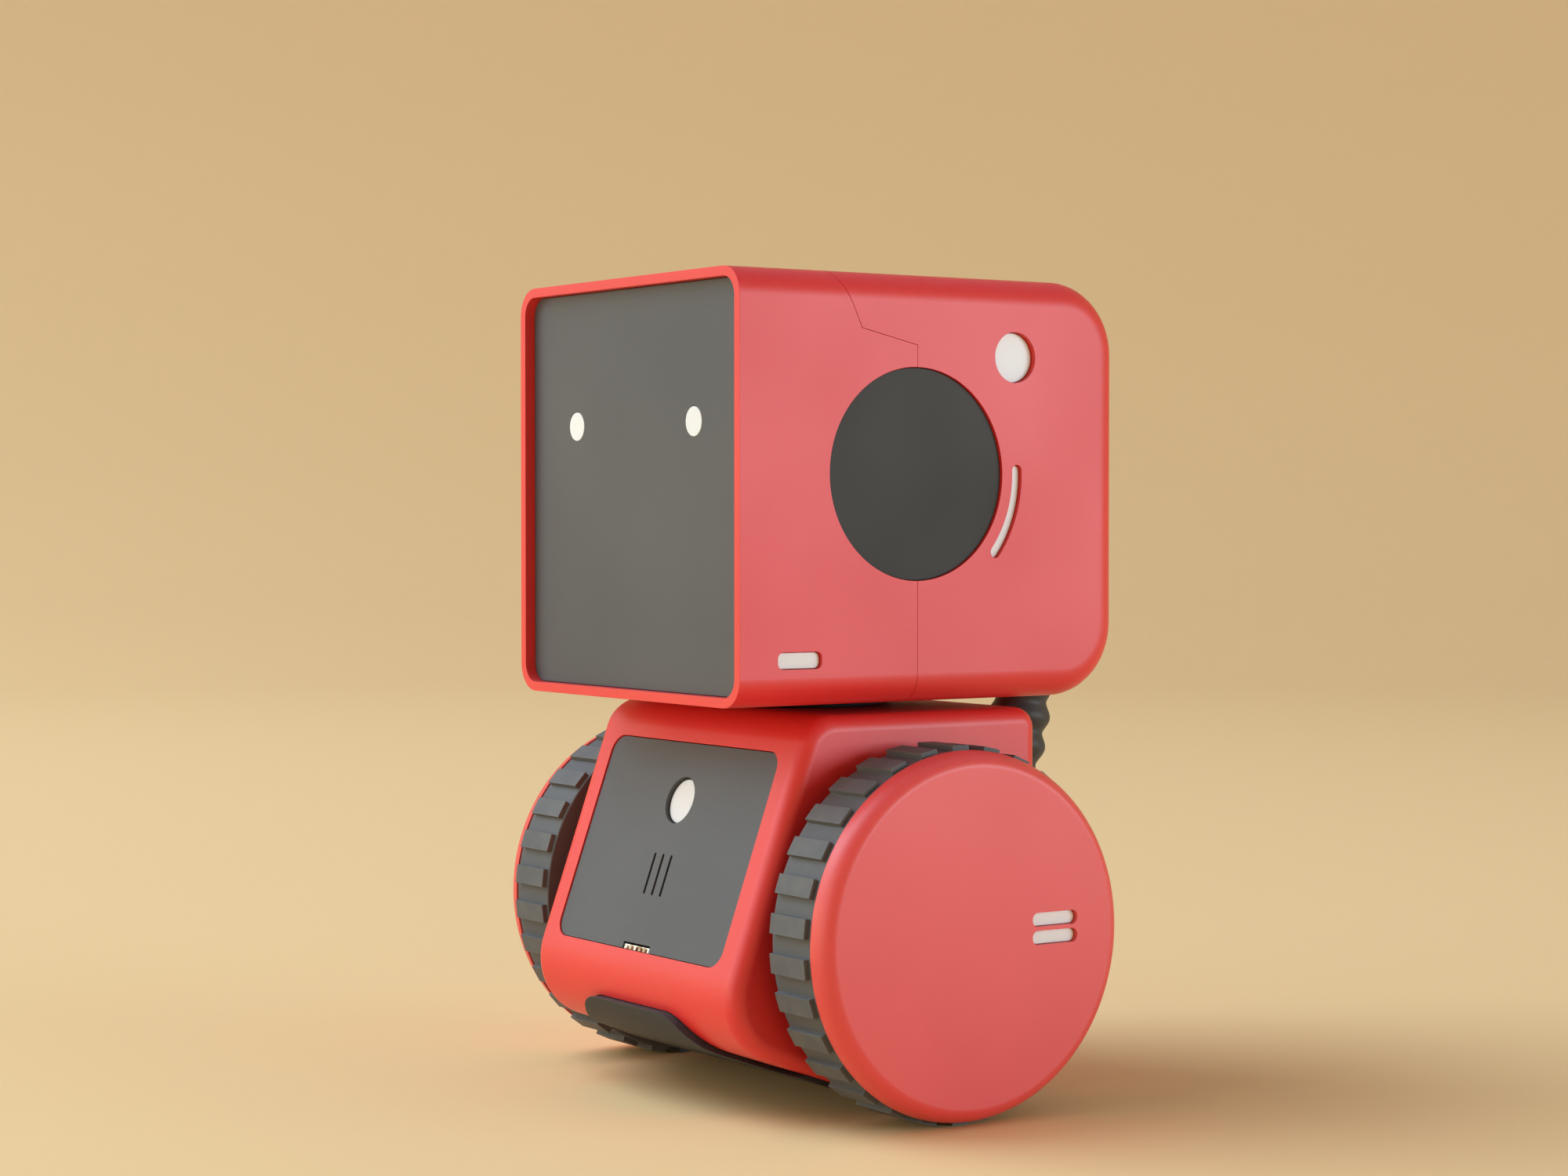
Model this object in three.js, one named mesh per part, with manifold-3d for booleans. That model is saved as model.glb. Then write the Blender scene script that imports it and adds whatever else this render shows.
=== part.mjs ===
// Small two-wheeled coding robot: a cube head on a sloped body, with a ribbed cable conduit behind.
// Millimetres, +Z up, the robot looks along -Y and its own left side is +X.
import * as THREE from "three";
import { mergeVertices } from "three/addons/utils/BufferGeometryUtils.js";
import Module from "manifold-3d";

const wasm = await Module();
wasm.setup();

// ---------- driving dimensions ----------
const gap = 0.3; // between pieces that seat on or pass through each other

// head
const headWidth = 66.1;
const headDepth = 72.9;
const headHeight = 65.8;
const headEdgeRadius = 4.5;
const headRearRadius = 11.5;
const headWall = 2.6;
const bezelWall = 1.5;
const bezelDepth = 1.7;
const facePanelThickness = 2;
const facePanelRadius = 3;
const eyeSpacing = 35.2;
const eyeRadius = 2.3;
const eyeBelowTop = 22.8;
const seamForward = 3.9; // the shells part this far in front of the head's middle
const seamStepDrop = 11; // height of the rear shell's forward tab, from the head's top
const seamStepReach = 10.4; // how far the tab's lower edge reaches forward
const seamStepRise = 2.3; // how much the tab's lower edge climbs to its tip
const seamSlantReach = 1.8; // the slanted tip's own reach
const seamSlantRise = 6.1; // from the step to the top of the slanted tip
const seamTopReach = 15.5; // how far the tab's top edge reaches forward

// ears and side lights
const earRadius = 16.3;
const earBelowTop = 30.75;
const earRecess = 0.5;
const earThickness = 1.8;
const earSpeaker = { coneInset: 2.5, coneDepth: 4, magnetInset: 8, magnetDepth: 3 };
const arcInnerRadius = 18.4;
const arcWidth = 1.75;
const arcFromAngle = THREE.MathUtils.degToRad(-38.6);
const arcToAngle = THREE.MathUtils.degToRad(2);
const arcRecess = 1.1;
const pillLightLength = 7.8;
const pillLightHeight = 2.45;
const pillLightBack = 10.8; // from the head's front to the middle of the light
const pillLightUp = 7;
const pillLightRecess = 0.7;
const sideButtonRadius = 3.9;
const sideButtonBack = 15; // behind the head's middle
const sideButtonBelowTop = 12.4;
const sideButtonRecess = 1;
const buttonTravel = 0.8;

// body
const bodyWidth = 60;
const bodyTop = 61.75;
const bodyBottom = 4.45;
const bodyRear = 22.3;
const bodyWall = 2.2;
const bodyEdgeRadius = 2.5;
const bodyLean = THREE.MathUtils.degToRad(19.7);
const chinRadius = 10.3;
const rampAngle = THREE.MathUtils.degToRad(20);
const rampEnd = -13.8;
const neckGap = 1.7; // between the body's top and the head's underside

// belly panel, measured down the slope from its top edge
const bellyTop = { y: -23.35, z: 55.99 };
const bellyWidth = 48.8;
const bellyLength = 34;
const bellyRadius = 2.8;
const bellyThickness = 1.8;
const bellyRecess = 0.25;
const chestButtonRadius = 3.65;
const chestButtonDown = 9.3;
const chestButtonRecess = 0.7;
const slotLength = 6.8;
const slotWidth = 0.6;
const slotPitch = 2.4;
const slotDown = 21.6;
const speakerRadius = 6.9;
const speakerDepth = 4;
const portWidth = 7.6;
const portHeight = 2.4;
const portDepth = 5.5;

// underpan
const panProud = 0.8;
const panWidth = 55;
const panEdgeHeight = 6.85;
const tongueHeight = 15.55;
const tongueTopWidth = 24.4;
const tongueBaseWidth = 41.4;

// wheels
const axleHeight = 28.745;
const axleY = -3.25;
const tyreRadius = 27.9;
const tyreWidth = 10;
const tyreInnerRadius = 24;
const wheelStandoff = 3.7; // from the body's side to the tyre
const lugCount = 30;
const lugShare = 0.5; // of each pitch
const lugMargin = 0.5;
const coverRadius = 28.1;
const coverHeight = 3.5;
const coverEdgeRadius = 3.6;
const coverWall = 2;
const hubPillLength = 8.55;
const hubPillHeight = 2.04;
const hubPillPitch = 2.77;
const hubPillBack = 14.8;
const hubPillRise = 0.6;
const hubPillRecess = 0.8;
const axleRadius = 1.5;
const bushRadius = 3.5;
const rimWeb = 2.4;
const rimBossRadius = 5;

// neck and conduit
const neckRadius = 9;
const neckBore = 6.5;
const bearingWall = 2.4;
const bearingHeight = 5.7;
const retainerHeight = 1.6;
const conduitRadius = 4.75;
const elbowRadius = 5.7;
const glandFlangeRadius = 7;
const conduitY = 42.3;
const elbowBottom = 71.85;
const elbowTop = 80.25;
const glandHeight = 40.65;
const glandReach = 5;
// the conduit's bends between the two ends: [behind the elbow's middle, above the gland's middle]
const conduitBends = [
  [0.2, 25.6],
  [0, 20.6],
  [-0.9, 15.1],
  [-2.2, 9.8],
  [-4.8, 4.7],
  [-8.3, 1.5],
  [-11.1, 0.1],
];

// inside
const frameThickness = 2.5;
const frameBottom = 8.85;
const frameHalfWidth = 25;
const frameBack = 15.6;
const shelfHeight = 39.25;
const motorSize = { length: 20.6, depth: 18, height: 17.6 };
const motorInner = 1.2;
const axleInner = 12;
const batterySize = { width: 36, depth: 22, height: 10.5 };
const batteryMiddle = 4;
const boardThickness = 1.6;
const faceBoard = { marginX: 16, marginZ: 26, up: 2 };
const sideBoard = { width: 20, marginZ: 30, behindEar: 9.5, up: 3, behindWall: 2.5 };
const mainBoardSize = { width: 40, height: 38, middleZ: 35.25 };
const switchClear = { before: 5, after: 12, below: 8, above: 4 }; // cut from the main board
const screwHeadRadius = 2;
const screwRadius = 1;
const screwX = 18;
const skidRadius = 5;
const skidPegRadius = 2;
const rearSkidY = 13;
const switchTravel = 2.5;
const switchKnob = { width: 3, height: 2.6 };
const switchX = -switchTravel / 2;
const switchZ = 21.25;

// ---------- derived places ----------
const headHalf = headWidth / 2;
const headFront = -headDepth / 2;
const headBack = headDepth / 2;
const headBottom = bodyTop + neckGap;
const headTop = headBottom + headHeight;
const earY = -seamForward;
const earZ = headTop - earBelowTop;
const bodyHalf = bodyWidth / 2;
const tyreInner = bodyHalf + wheelStandoff;
const tyreOuter = tyreInner + tyreWidth;
const coverBack = tyreOuter + gap;
const coverFace = coverBack + coverHeight;
const facePanelFront = headFront + bezelDepth;
const facePanelRear = facePanelFront + facePanelThickness;
const sides = { left: 1, right: -1 };
const rampSlope = Math.tan(rampAngle);
const wallOnRamp = bodyWall / Math.cos(rampAngle);
const frameFront = rampEnd - (frameBottom - gap - bodyBottom - wallOnRamp) / rampSlope;

// ---------- materials ----------
const finish = (color, roughness, metalness = 0) =>
  new THREE.MeshStandardMaterial({ color, roughness, metalness });
const redPlastic = finish(0xd8302f, 0.4);
const panelGrey = finish(0x6f6f6f, 0.45);
const earGrey = finish(0x4b4b49, 0.5);
const panGrey = finish(0x3d3d3b, 0.5);
const whitePlastic = finish(0xececea, 0.35);
const rubber = finish(0x5a5c5c, 0.75);
const conduitRubber = finish(0x3a3b3a, 0.7);
const innerPlastic = finish(0x2b2c2e, 0.6);
const steel = finish(0xb8babd, 0.3, 1);
const brass = finish(0xc9a45a, 0.35, 1);
const circuitGreen = finish(0x1f6b45, 0.5);
const motorYellow = finish(0xe0b53a, 0.5);
const batteryBlue = finish(0x3a5f9e, 0.5);
const portCream = finish(0xe6dac2, 0.35);

// ---------- shapes ----------

// A closed outline from [x, y, radius] corners, given anticlockwise.
function outline(corners) {
  const shape = new THREE.Shape();
  corners.forEach(([x, y, radius], i) => {
    const before = corners[(i + corners.length - 1) % corners.length];
    const after = corners[(i + 1) % corners.length];
    const corner = new THREE.Vector2(x, y);
    const back = new THREE.Vector2(before[0], before[1]).sub(corner).normalize();
    const ahead = new THREE.Vector2(after[0], after[1]).sub(corner).normalize();
    if (!radius) {
      if (i) shape.lineTo(x, y);
      else shape.moveTo(x, y);
      return;
    }
    const half = Math.acos(THREE.MathUtils.clamp(back.dot(ahead), -1, 1)) / 2;
    const start = corner.clone().addScaledVector(back, radius / Math.tan(half));
    const end = corner.clone().addScaledVector(ahead, radius / Math.tan(half));
    const middle = back.clone().add(ahead).normalize();
    const centre = corner.clone().addScaledVector(middle, radius / Math.sin(half));
    const from = start.clone().sub(centre).angle();
    const to = end.clone().sub(centre).angle();
    const inward = back.cross(ahead) > 0;
    if (!i) shape.moveTo(start.x, start.y);
    else shape.lineTo(start.x, start.y);
    shape.absarc(centre.x, centre.y, radius, from, to, inward);
  });
  shape.closePath();
  return shape;
}

// The same corners moved inwards by a distance, or outwards by a negative one.
function inset(corners, distance) {
  const edges = corners.map(([x, y], i) => {
    const next = corners[(i + 1) % corners.length];
    const along = new THREE.Vector2(next[0] - x, next[1] - y).normalize();
    const point = new THREE.Vector2(x - along.y * distance, y + along.x * distance);
    return { along, point };
  });
  return corners.map(([x, y, radius], i) => {
    const edge = edges[i];
    const before = edges[(i + corners.length - 1) % corners.length];
    const turn = before.along.cross(edge.along);
    const offset = edge.point.clone().sub(before.point).cross(edge.along) / turn;
    const moved = before.point.clone().addScaledVector(before.along, offset);
    const rounded = radius - Math.sign(turn) * distance;
    return [moved.x, moved.y, radius ? Math.max(rounded, 0.2) : 0];
  });
}

const rectangle = (width, height, radius = 0, x = 0, y = 0) => [
  [x - width / 2, y - height / 2, radius],
  [x + width / 2, y - height / 2, radius],
  [x + width / 2, y + height / 2, radius],
  [x - width / 2, y + height / 2, radius],
];

function circle(radius, x = 0, y = 0) {
  const shape = new THREE.Shape();
  shape.absarc(x, y, radius, 0, 2 * Math.PI);
  return shape;
}

function band(outerRadius, innerRadius, x = 0, y = 0) {
  const shape = circle(outerRadius, x, y);
  shape.holes.push(new THREE.Path().absarc(x, y, innerRadius, 0, 2 * Math.PI));
  return shape;
}

// A curved strip with round ends, about a centre.
function arcStrip(innerRadius, width, from, to, x, y) {
  const middle = innerRadius + width / 2;
  const shape = new THREE.Shape();
  const endX = (angle) => x + middle * Math.cos(angle);
  const endY = (angle) => y + middle * Math.sin(angle);
  shape.absarc(x, y, innerRadius + width, from, to);
  shape.absarc(endX(to), endY(to), width / 2, to, to + Math.PI);
  shape.absarc(x, y, innerRadius, to, from, true);
  shape.absarc(endX(from), endY(from), width / 2, from + Math.PI, from + 2 * Math.PI);
  return shape;
}

// ---------- solids ----------
const alongX = new THREE.Matrix4().makeBasis(
  new THREE.Vector3(0, 1, 0),
  new THREE.Vector3(0, 0, 1),
  new THREE.Vector3(1, 0, 0),
);
const alongY = new THREE.Matrix4().makeBasis(
  new THREE.Vector3(1, 0, 0),
  new THREE.Vector3(0, 0, 1),
  new THREE.Vector3(0, -1, 0),
);

// A three.js geometry as a solid that can be joined and cut.
function solid(geometry) {
  const bare = new THREE.BufferGeometry();
  bare.setAttribute("position", geometry.getAttribute("position"));
  bare.setIndex(geometry.index);
  const merged = mergeVertices(bare, 1e-4);
  const corners = merged.index.array;
  const kept = [];
  for (let i = 0; i < corners.length; i += 3) {
    const [a, b, c] = corners.subarray(i, i + 3);
    if (a !== b && b !== c && c !== a) kept.push(a, b, c);
  }
  const vertProperties = merged.getAttribute("position").array;
  const triVerts = new Uint32Array(kept);
  return new wasm.Manifold(new wasm.Mesh({ numProp: 3, vertProperties, triVerts }));
}

// A shape extruded from one height to another, with rounded rims where a bevel is given.
function prism(shape, from, to, { segments = 3, bevel = 0, place = null } = {}) {
  const low = Math.min(from, to);
  const geometry = new THREE.ExtrudeGeometry(shape, {
    depth: Math.abs(to - from) - 2 * bevel,
    curveSegments: segments,
    bevelEnabled: bevel > 0,
    bevelThickness: bevel,
    bevelSize: bevel,
    bevelOffset: -bevel,
    bevelSegments: 2,
  });
  geometry.translate(0, 0, low + bevel);
  if (place) geometry.applyMatrix4(place);
  return solid(geometry);
}

const prismX = (shape, from, to, options) =>
  prism(shape, from, to, { ...options, place: alongX });
const prismY = (shape, from, to, options) =>
  prism(shape, -to, -from, { ...options, place: alongY });
const roundX = (radius, from, to, y, z, segments = 8) =>
  prismX(circle(radius, y, z), from, to, { segments });
const roundY = (radius, from, to, x, z, segments = 8) =>
  prismY(circle(radius, x, z), from, to, { segments });
const roundZ = (radius, from, to, x, y, segments = 8) =>
  prism(circle(radius, x, y), from, to, { segments });
const block = (x0, x1, y0, y1, z0, z1) =>
  prism(outline(rectangle(x1 - x0, y1 - y0, 0, (x0 + x1) / 2, (y0 + y1) / 2)), z0, z1);

// A profile of [radius, height] points turned about Z.
const turned = (profile, segments) =>
  solid(
    new THREE.LatheGeometry(
      profile.map(([radius, height]) => new THREE.Vector2(radius, height)),
      segments,
    ).rotateX(Math.PI / 2),
  );

const join = (...solids) => solids.reduce((all, next) => all.add(next));
const cut = (base, ...tools) => tools.reduce((left, tool) => left.subtract(tool), base);

function piece(name, shape, material, parent) {
  const { vertProperties, triVerts } = shape.getMesh();
  const geometry = new THREE.BufferGeometry();
  geometry.setAttribute("position", new THREE.BufferAttribute(vertProperties, 3));
  geometry.setIndex(new THREE.BufferAttribute(triVerts, 1));
  geometry.computeVertexNormals();
  const mesh = new THREE.Mesh(geometry, material);
  mesh.name = name;
  parent.add(mesh);
}

// ---------- head ----------
const head = new THREE.Group();

// The head's rounded cube, shrunk all round by an inset, with its own front plane.
function headForm(distance, front) {
  const height = headHeight / 2 + headBottom;
  const face = inset(rectangle(headWidth, headHeight, headEdgeRadius, 0, height), distance);
  const profile = [
    [front, headBottom + distance, 0],
    [headBack - distance, headBottom + distance, headRearRadius - distance],
    [headBack - distance, headTop - distance, headRearRadius - distance],
    [front, headTop - distance, 0],
  ];
  const plan = [
    [-headHalf + distance, front, 0],
    [headHalf - distance, front, 0],
    [headHalf - distance, headBack - distance, headEdgeRadius - distance],
    [-headHalf + distance, headBack - distance, headEdgeRadius - distance],
  ];
  const tube = prismY(outline(face), front, headBack - distance);
  const side = prismX(outline(profile), -headHalf, headHalf, { segments: 4 });
  return tube.intersect(side).intersect(prism(outline(plan), headBottom, headTop));
}

// Everything in front of the seam between the two head shells, moved by an offset.
function frontOfSeam(offset) {
  const seamY = -seamForward + offset;
  const stepZ = headTop - seamStepDrop + offset;
  const lowZ = headBottom - 1;
  const region = [
    [headFront - 1, lowZ, 0],
    [seamY, lowZ, 0],
    [seamY, stepZ, 0],
    [seamY - seamStepReach, stepZ + seamStepRise, 0],
    [seamY - seamStepReach - seamSlantReach, stepZ + seamSlantRise, 0],
    [seamY - seamTopReach, headTop + 1, 0],
    [headFront - 1, headTop + 1, 0],
  ];
  return prismX(outline(region), -headHalf - 1, headHalf + 1);
}

function makeHeadShells() {
  const pocketEnd = facePanelRear + gap;
  const mouth = rectangle(
    headWidth - 2 * bezelWall,
    headHeight - 2 * bezelWall,
    facePanelRadius,
    0,
    headBottom + headHeight / 2,
  );
  let shell = cut(
    headForm(0, headFront),
    headForm(headWall, pocketEnd - 0.1),
    prismY(outline(mouth), headFront - 1, pocketEnd),
    roundZ(neckRadius + gap, headBottom - 1, headBottom + headWall + 1, 0, axleY, 10),
    roundY(skidPegRadius + gap, headBack - headWall - 1, headBack + 1, 0, elbowTop),
  );
  for (const side of Object.values(sides)) {
    const inner = side * (headHalf - headWall - 1);
    const outer = side * (headHalf + 1);
    const opening = (shape, segments) => prismX(shape, inner, outer, { segments });
    shell = cut(
      shell,
      opening(circle(earRadius + gap, earY, earZ), 16),
      opening(arcShape(gap), 4),
      opening(pillLightShape(gap), 3),
      opening(circle(sideButtonRadius + gap, sideButtonBack, sideButtonZ), 10),
    );
  }
  piece("head_front_shell", shell.intersect(frontOfSeam(-gap / 2)), redPlastic, head);
  piece("head_rear_shell", cut(shell, frontOfSeam(gap / 2)), redPlastic, head);
}

const sideButtonZ = headTop - sideButtonBelowTop;
const arcShape = (grow) =>
  arcStrip(arcInnerRadius - grow, arcWidth + 2 * grow, arcFromAngle, arcToAngle, earY, earZ);
const pillLightShape = (grow) =>
  outline(
    rectangle(
      pillLightLength + 2 * grow,
      pillLightHeight + 2 * grow,
      0.9 + grow,
      headFront + pillLightBack,
      headBottom + pillLightUp,
    ),
  );

function makeFace() {
  const middle = headBottom + headHeight / 2;
  const eyeZ = headTop - eyeBelowTop;
  const width = headWidth - 2 * bezelWall - 2 * gap;
  const height = headHeight - 2 * bezelWall - 2 * gap;
  const face = rectangle(width, height, facePanelRadius - gap, 0, middle);
  let panel = prismY(outline(face), facePanelFront, facePanelRear);
  for (const [name, side] of Object.entries(sides)) {
    const x = (side * eyeSpacing) / 2;
    panel = cut(panel, roundY(eyeRadius + gap, facePanelFront - 1, facePanelRear + 1, x, eyeZ));
    const pipe = roundY(eyeRadius, facePanelFront, facePanelRear + gap + 0.5, x, eyeZ);
    const flange = roundY(eyeRadius + 1, facePanelRear + gap, facePanelRear + gap + 0.8, x, eyeZ);
    piece("eye_light_" + name, join(pipe, flange), whitePlastic, head);
  }
  piece("face_panel", panel, panelGrey, head);
  const boardFront = facePanelRear + 2 * gap + 0.9;
  const board = rectangle(
    headWidth - faceBoard.marginX,
    headHeight - faceBoard.marginZ,
    1,
    0,
    middle + faceBoard.up,
  );
  const boardShape = prismY(outline(board), boardFront, boardFront + boardThickness);
  piece("face_board", boardShape, circuitGreen, head);
}

function makeHeadSides() {
  for (const [name, side] of Object.entries(sides)) {
    const plate = (shape, outer, depth, segments) =>
      prismX(shape, side * (headHalf - outer), side * (headHalf - outer - depth), { segments });
    const cap = plate(circle(earRadius, earY, earZ), earRecess, earThickness, 16);
    piece("ear_cap_" + name, cap, earGrey, head);
    const coneOuter = earRecess + earThickness + gap;
    const magnetOuter = coneOuter + earSpeaker.coneDepth - 0.1;
    const coneShape = circle(earRadius - earSpeaker.coneInset, earY, earZ);
    const cone = plate(coneShape, coneOuter, earSpeaker.coneDepth, 12);
    const magnetShape = circle(earRadius - earSpeaker.magnetInset, earY, earZ);
    const magnet = plate(magnetShape, magnetOuter, earSpeaker.magnetDepth, 12);
    piece("ear_speaker_" + name, join(cone, magnet), innerPlastic, head);
    const light = plate(arcShape(0), arcRecess, headWall, 4);
    piece("arc_light_" + name, light, whitePlastic, head);
    const lamp = plate(pillLightShape(0), pillLightRecess, headWall, 3);
    piece("pill_light_" + name, lamp, whitePlastic, head);
    const boardOuter = sideButtonRecess + headWall + sideBoard.behindWall;
    const board = rectangle(
      sideBoard.width,
      headHeight - sideBoard.marginZ,
      1,
      earY + earRadius + sideBoard.behindEar,
      earZ + sideBoard.up,
    );
    const boardShape = plate(outline(board), boardOuter, boardThickness, 2);
    piece("side_board_" + name, boardShape, circuitGreen, head);
    const button = plate(circle(sideButtonRadius, sideButtonBack, sideButtonZ), sideButtonRecess, 2.6, 12);
    const rim = plate(circle(sideButtonRadius + 1, sideButtonBack, sideButtonZ), headWall + gap, 0.7, 12);
    piece("side_button_" + name, join(button, rim), whitePlastic, head);
  }
}

function makeNeck(body) {
  const spigotBottom = bodyTop - bodyWall - bearingHeight - retainerHeight + 1;
  const flangeBottom = headBottom + headWall + gap;
  const tube = prism(band(neckRadius, neckBore, 0, axleY), spigotBottom, flangeBottom + 1, { segments: 10 });
  const flangeTop = flangeBottom + 2;
  const flange = prism(band(neckRadius + 5, neckBore, 0, axleY), flangeBottom, flangeTop, { segments: 10 });
  piece("neck_spigot", join(tube, flange), innerPlastic, head);
  const bore = neckRadius + gap;
  const bearingBottom = bodyTop + gap - bearingHeight;
  const bearing = band(bore + bearingWall, bore, 0, axleY);
  piece("neck_bearing", prism(bearing, bearingBottom, bodyTop + gap, { segments: 10 }), innerPlastic, body);
  const clipTop = bearingBottom - gap;
  const clip = prism(bearing, clipTop - retainerHeight, clipTop, { segments: 10 });
  piece("neck_retainer", clip, steel, head);
  const washer = band(bore + bearingWall + 3, bore + bearingWall + gap, 0, axleY);
  piece("neck_washer", prism(washer, bodyTop + gap, headBottom - gap, { segments: 10 }), innerPlastic, body);
}

// ---------- body ----------
const body = new THREE.Group();

// Side profile of the body: sloped belly, rounded chin, ramped and flat underside.
function bodyCorners() {
  const slope = Math.tan(bodyLean);
  const slopeY = (z) => bellyTop.y - slope * (bellyTop.z - z);
  const rise = rampSlope * (rampEnd - bellyTop.y + slope * bellyTop.z);
  const chinZ = (bodyBottom + rise) / (1 + rampSlope * slope);
  return [
    [rampEnd, bodyBottom, 20],
    [bodyRear, bodyBottom, 9],
    [bodyRear, bodyTop, 3.3],
    [slopeY(bodyTop), bodyTop, 6],
    [slopeY(chinZ), chinZ, chinRadius],
  ];
}

const bodyForm = (distance, bevel) =>
  prismX(outline(inset(bodyCorners(), distance)), -bodyHalf + distance, bodyHalf - distance, {
    segments: 3,
    bevel,
  });

// What the underpan covers: a tongue at the front and the flat underside behind it.
function panRegion(grow) {
  const base = tongueBaseWidth / 2;
  const top = tongueTopWidth / 2;
  const edge = panWidth / 2;
  const tongue = [
    [-edge, bodyBottom - 3, 0],
    [edge, bodyBottom - 3, 0],
    [edge, panEdgeHeight, 0],
    [base, panEdgeHeight, 7],
    [top, tongueHeight, 6],
    [-top, tongueHeight, 6],
    [-base, panEdgeHeight, 7],
    [-edge, panEdgeHeight, 0],
  ];
  const front = prismY(outline(inset(tongue, -grow)), -60, axleY);
  const edgeOut = edge + grow;
  const rear = block(-edgeOut, edgeOut, axleY - 1, 60, bodyBottom - 3, panEdgeHeight + grow);
  return join(front, rear);
}

// The belly panel's own frame: origin at the middle of its top edge, +Y up the slope, +Z outwards.
const belly = new THREE.Group();
belly.position.set(0, bellyTop.y, bellyTop.z);
belly.rotation.x = Math.PI / 2 - bodyLean;
belly.updateMatrix();

const bellyOutline = (grow) =>
  outline(
    rectangle(bellyWidth + 2 * grow, bellyLength + 2 * grow, bellyRadius + grow, 0, -bellyLength / 2),
  );

const screwYs = [-9, 9];
const screwPlaces = screwYs.flatMap((y) => [
  [screwX, y],
  [-screwX, y],
]);

function makeBody() {
  const bellyOpening = prism(bellyOutline(gap), -bodyWall - 1.5, 2, { place: belly.matrix });
  let shell = cut(
    bodyForm(0, bodyEdgeRadius),
    bodyForm(bodyWall, 0),
    bellyOpening,
    panRegion(gap),
    roundZ(neckRadius + 2 * gap + bearingWall, bodyTop - bodyWall - 1, bodyTop + 1, 0, axleY, 10),
    roundX(bushRadius + gap, -bodyHalf - 1, bodyHalf + 1, axleY, axleHeight),
    roundY(skidPegRadius + gap, bodyRear - bodyWall - 1, bodyRear + 1, 0, glandHeight),
  );
  const slotWide = switchKnob.width + switchTravel + 2 * gap;
  const switchSlot = rectangle(
    slotWide,
    switchKnob.height + 2 * gap,
    0.4,
    switchX + switchTravel / 2,
    switchZ,
  );
  shell = cut(shell, prismY(outline(switchSlot), bodyRear - bodyWall - 1, bodyRear + 1));
  piece("body_shell", shell, redPlastic, body);

  let pan = cut(bodyForm(-panProud, 0), bodyForm(bodyWall, 0)).intersect(panRegion(0));
  pan = cut(pan, roundZ(skidPegRadius + gap, 0, 15, 0, rearSkidY));
  screwPlaces.forEach(([x, y], i) => {
    pan = cut(pan, roundZ(screwHeadRadius + gap, 0, 15, x, y));
    const headBase = bodyBottom - panProud + 0.4;
    const screwHead = roundZ(screwHeadRadius, headBase, headBase + 1.6, x, y);
    const shank = roundZ(screwRadius, headBase + 1, frameBottom + frameThickness, x, y, 4);
    const driver = block(x - 3, x + 3, y - 0.3, y + 0.3, headBase - 1, headBase + 0.8);
    piece("pan_screw_" + (i + 1), cut(join(screwHead, shank), driver), steel, body);
  });
  piece("underpan", pan, panGrey, body);
}

function makeBelly() {
  const front = -bellyRecess;
  const rear = front - bellyThickness;
  let panel = cut(
    prism(bellyOutline(0), rear, front),
    prism(circle(chestButtonRadius + gap, 0, -chestButtonDown), rear - 1, 1, { segments: 12 }),
    block(-portWidth / 2 - gap, portWidth / 2 + gap, -bellyLength - 1, -bellyLength + 1.1, rear - 1, 1),
  );
  for (const i of [-1, 0, 1]) {
    const slot = rectangle(slotWidth, slotLength, 0, i * slotPitch, -slotDown);
    panel = cut(panel, prism(outline(slot), rear - 1, 1));
  }
  piece("belly_panel", panel, panelGrey, belly);

  const buttonFront = front - chestButtonRecess;
  const flangeFront = rear - gap;
  const stemEnd = flangeFront - 2.2;
  const middle = [0, -chestButtonDown];
  const cap = prism(circle(chestButtonRadius, ...middle), flangeFront - 0.5, buttonFront, { segments: 12 });
  const flange = prism(circle(chestButtonRadius + 0.9, ...middle), flangeFront - 0.9, flangeFront, {
    segments: 12,
  });
  const stem = prism(circle(1.2, ...middle), stemEnd, flangeFront - 0.5, { segments: 5 });
  piece("chest_button", join(cap, flange, stem), whitePlastic, belly);
  const switchFront = stemEnd - buttonTravel - gap;
  const switchBox = outline(rectangle(6, 6, 0.5, ...middle));
  piece("chest_switch", prism(switchBox, switchFront - 3, switchFront), innerPlastic, belly);

  const speakerFront = rear - gap;
  const cone = circle(speakerRadius, 0, -slotDown);
  const magnet = circle(speakerRadius - 3, 0, -slotDown);
  const speaker = join(
    prism(cone, speakerFront - speakerDepth / 2, speakerFront, { segments: 12 }),
    prism(magnet, speakerFront - speakerDepth, speakerFront - speakerDepth / 2 + 0.1, { segments: 10 }),
  );
  piece("belly_speaker", speaker, innerPlastic, belly);

  const lipTop = -bellyLength + 1.1 - gap;
  const port = join(
    block(-portWidth / 2, portWidth / 2, -bellyLength, lipTop, rear - 2, front - 0.25),
    block(-portWidth / 2, portWidth / 2, lipTop - portHeight, lipTop, rear - portDepth, rear - gap - 0.5),
  );
  piece("charging_port", port, portCream, belly);
}

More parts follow.
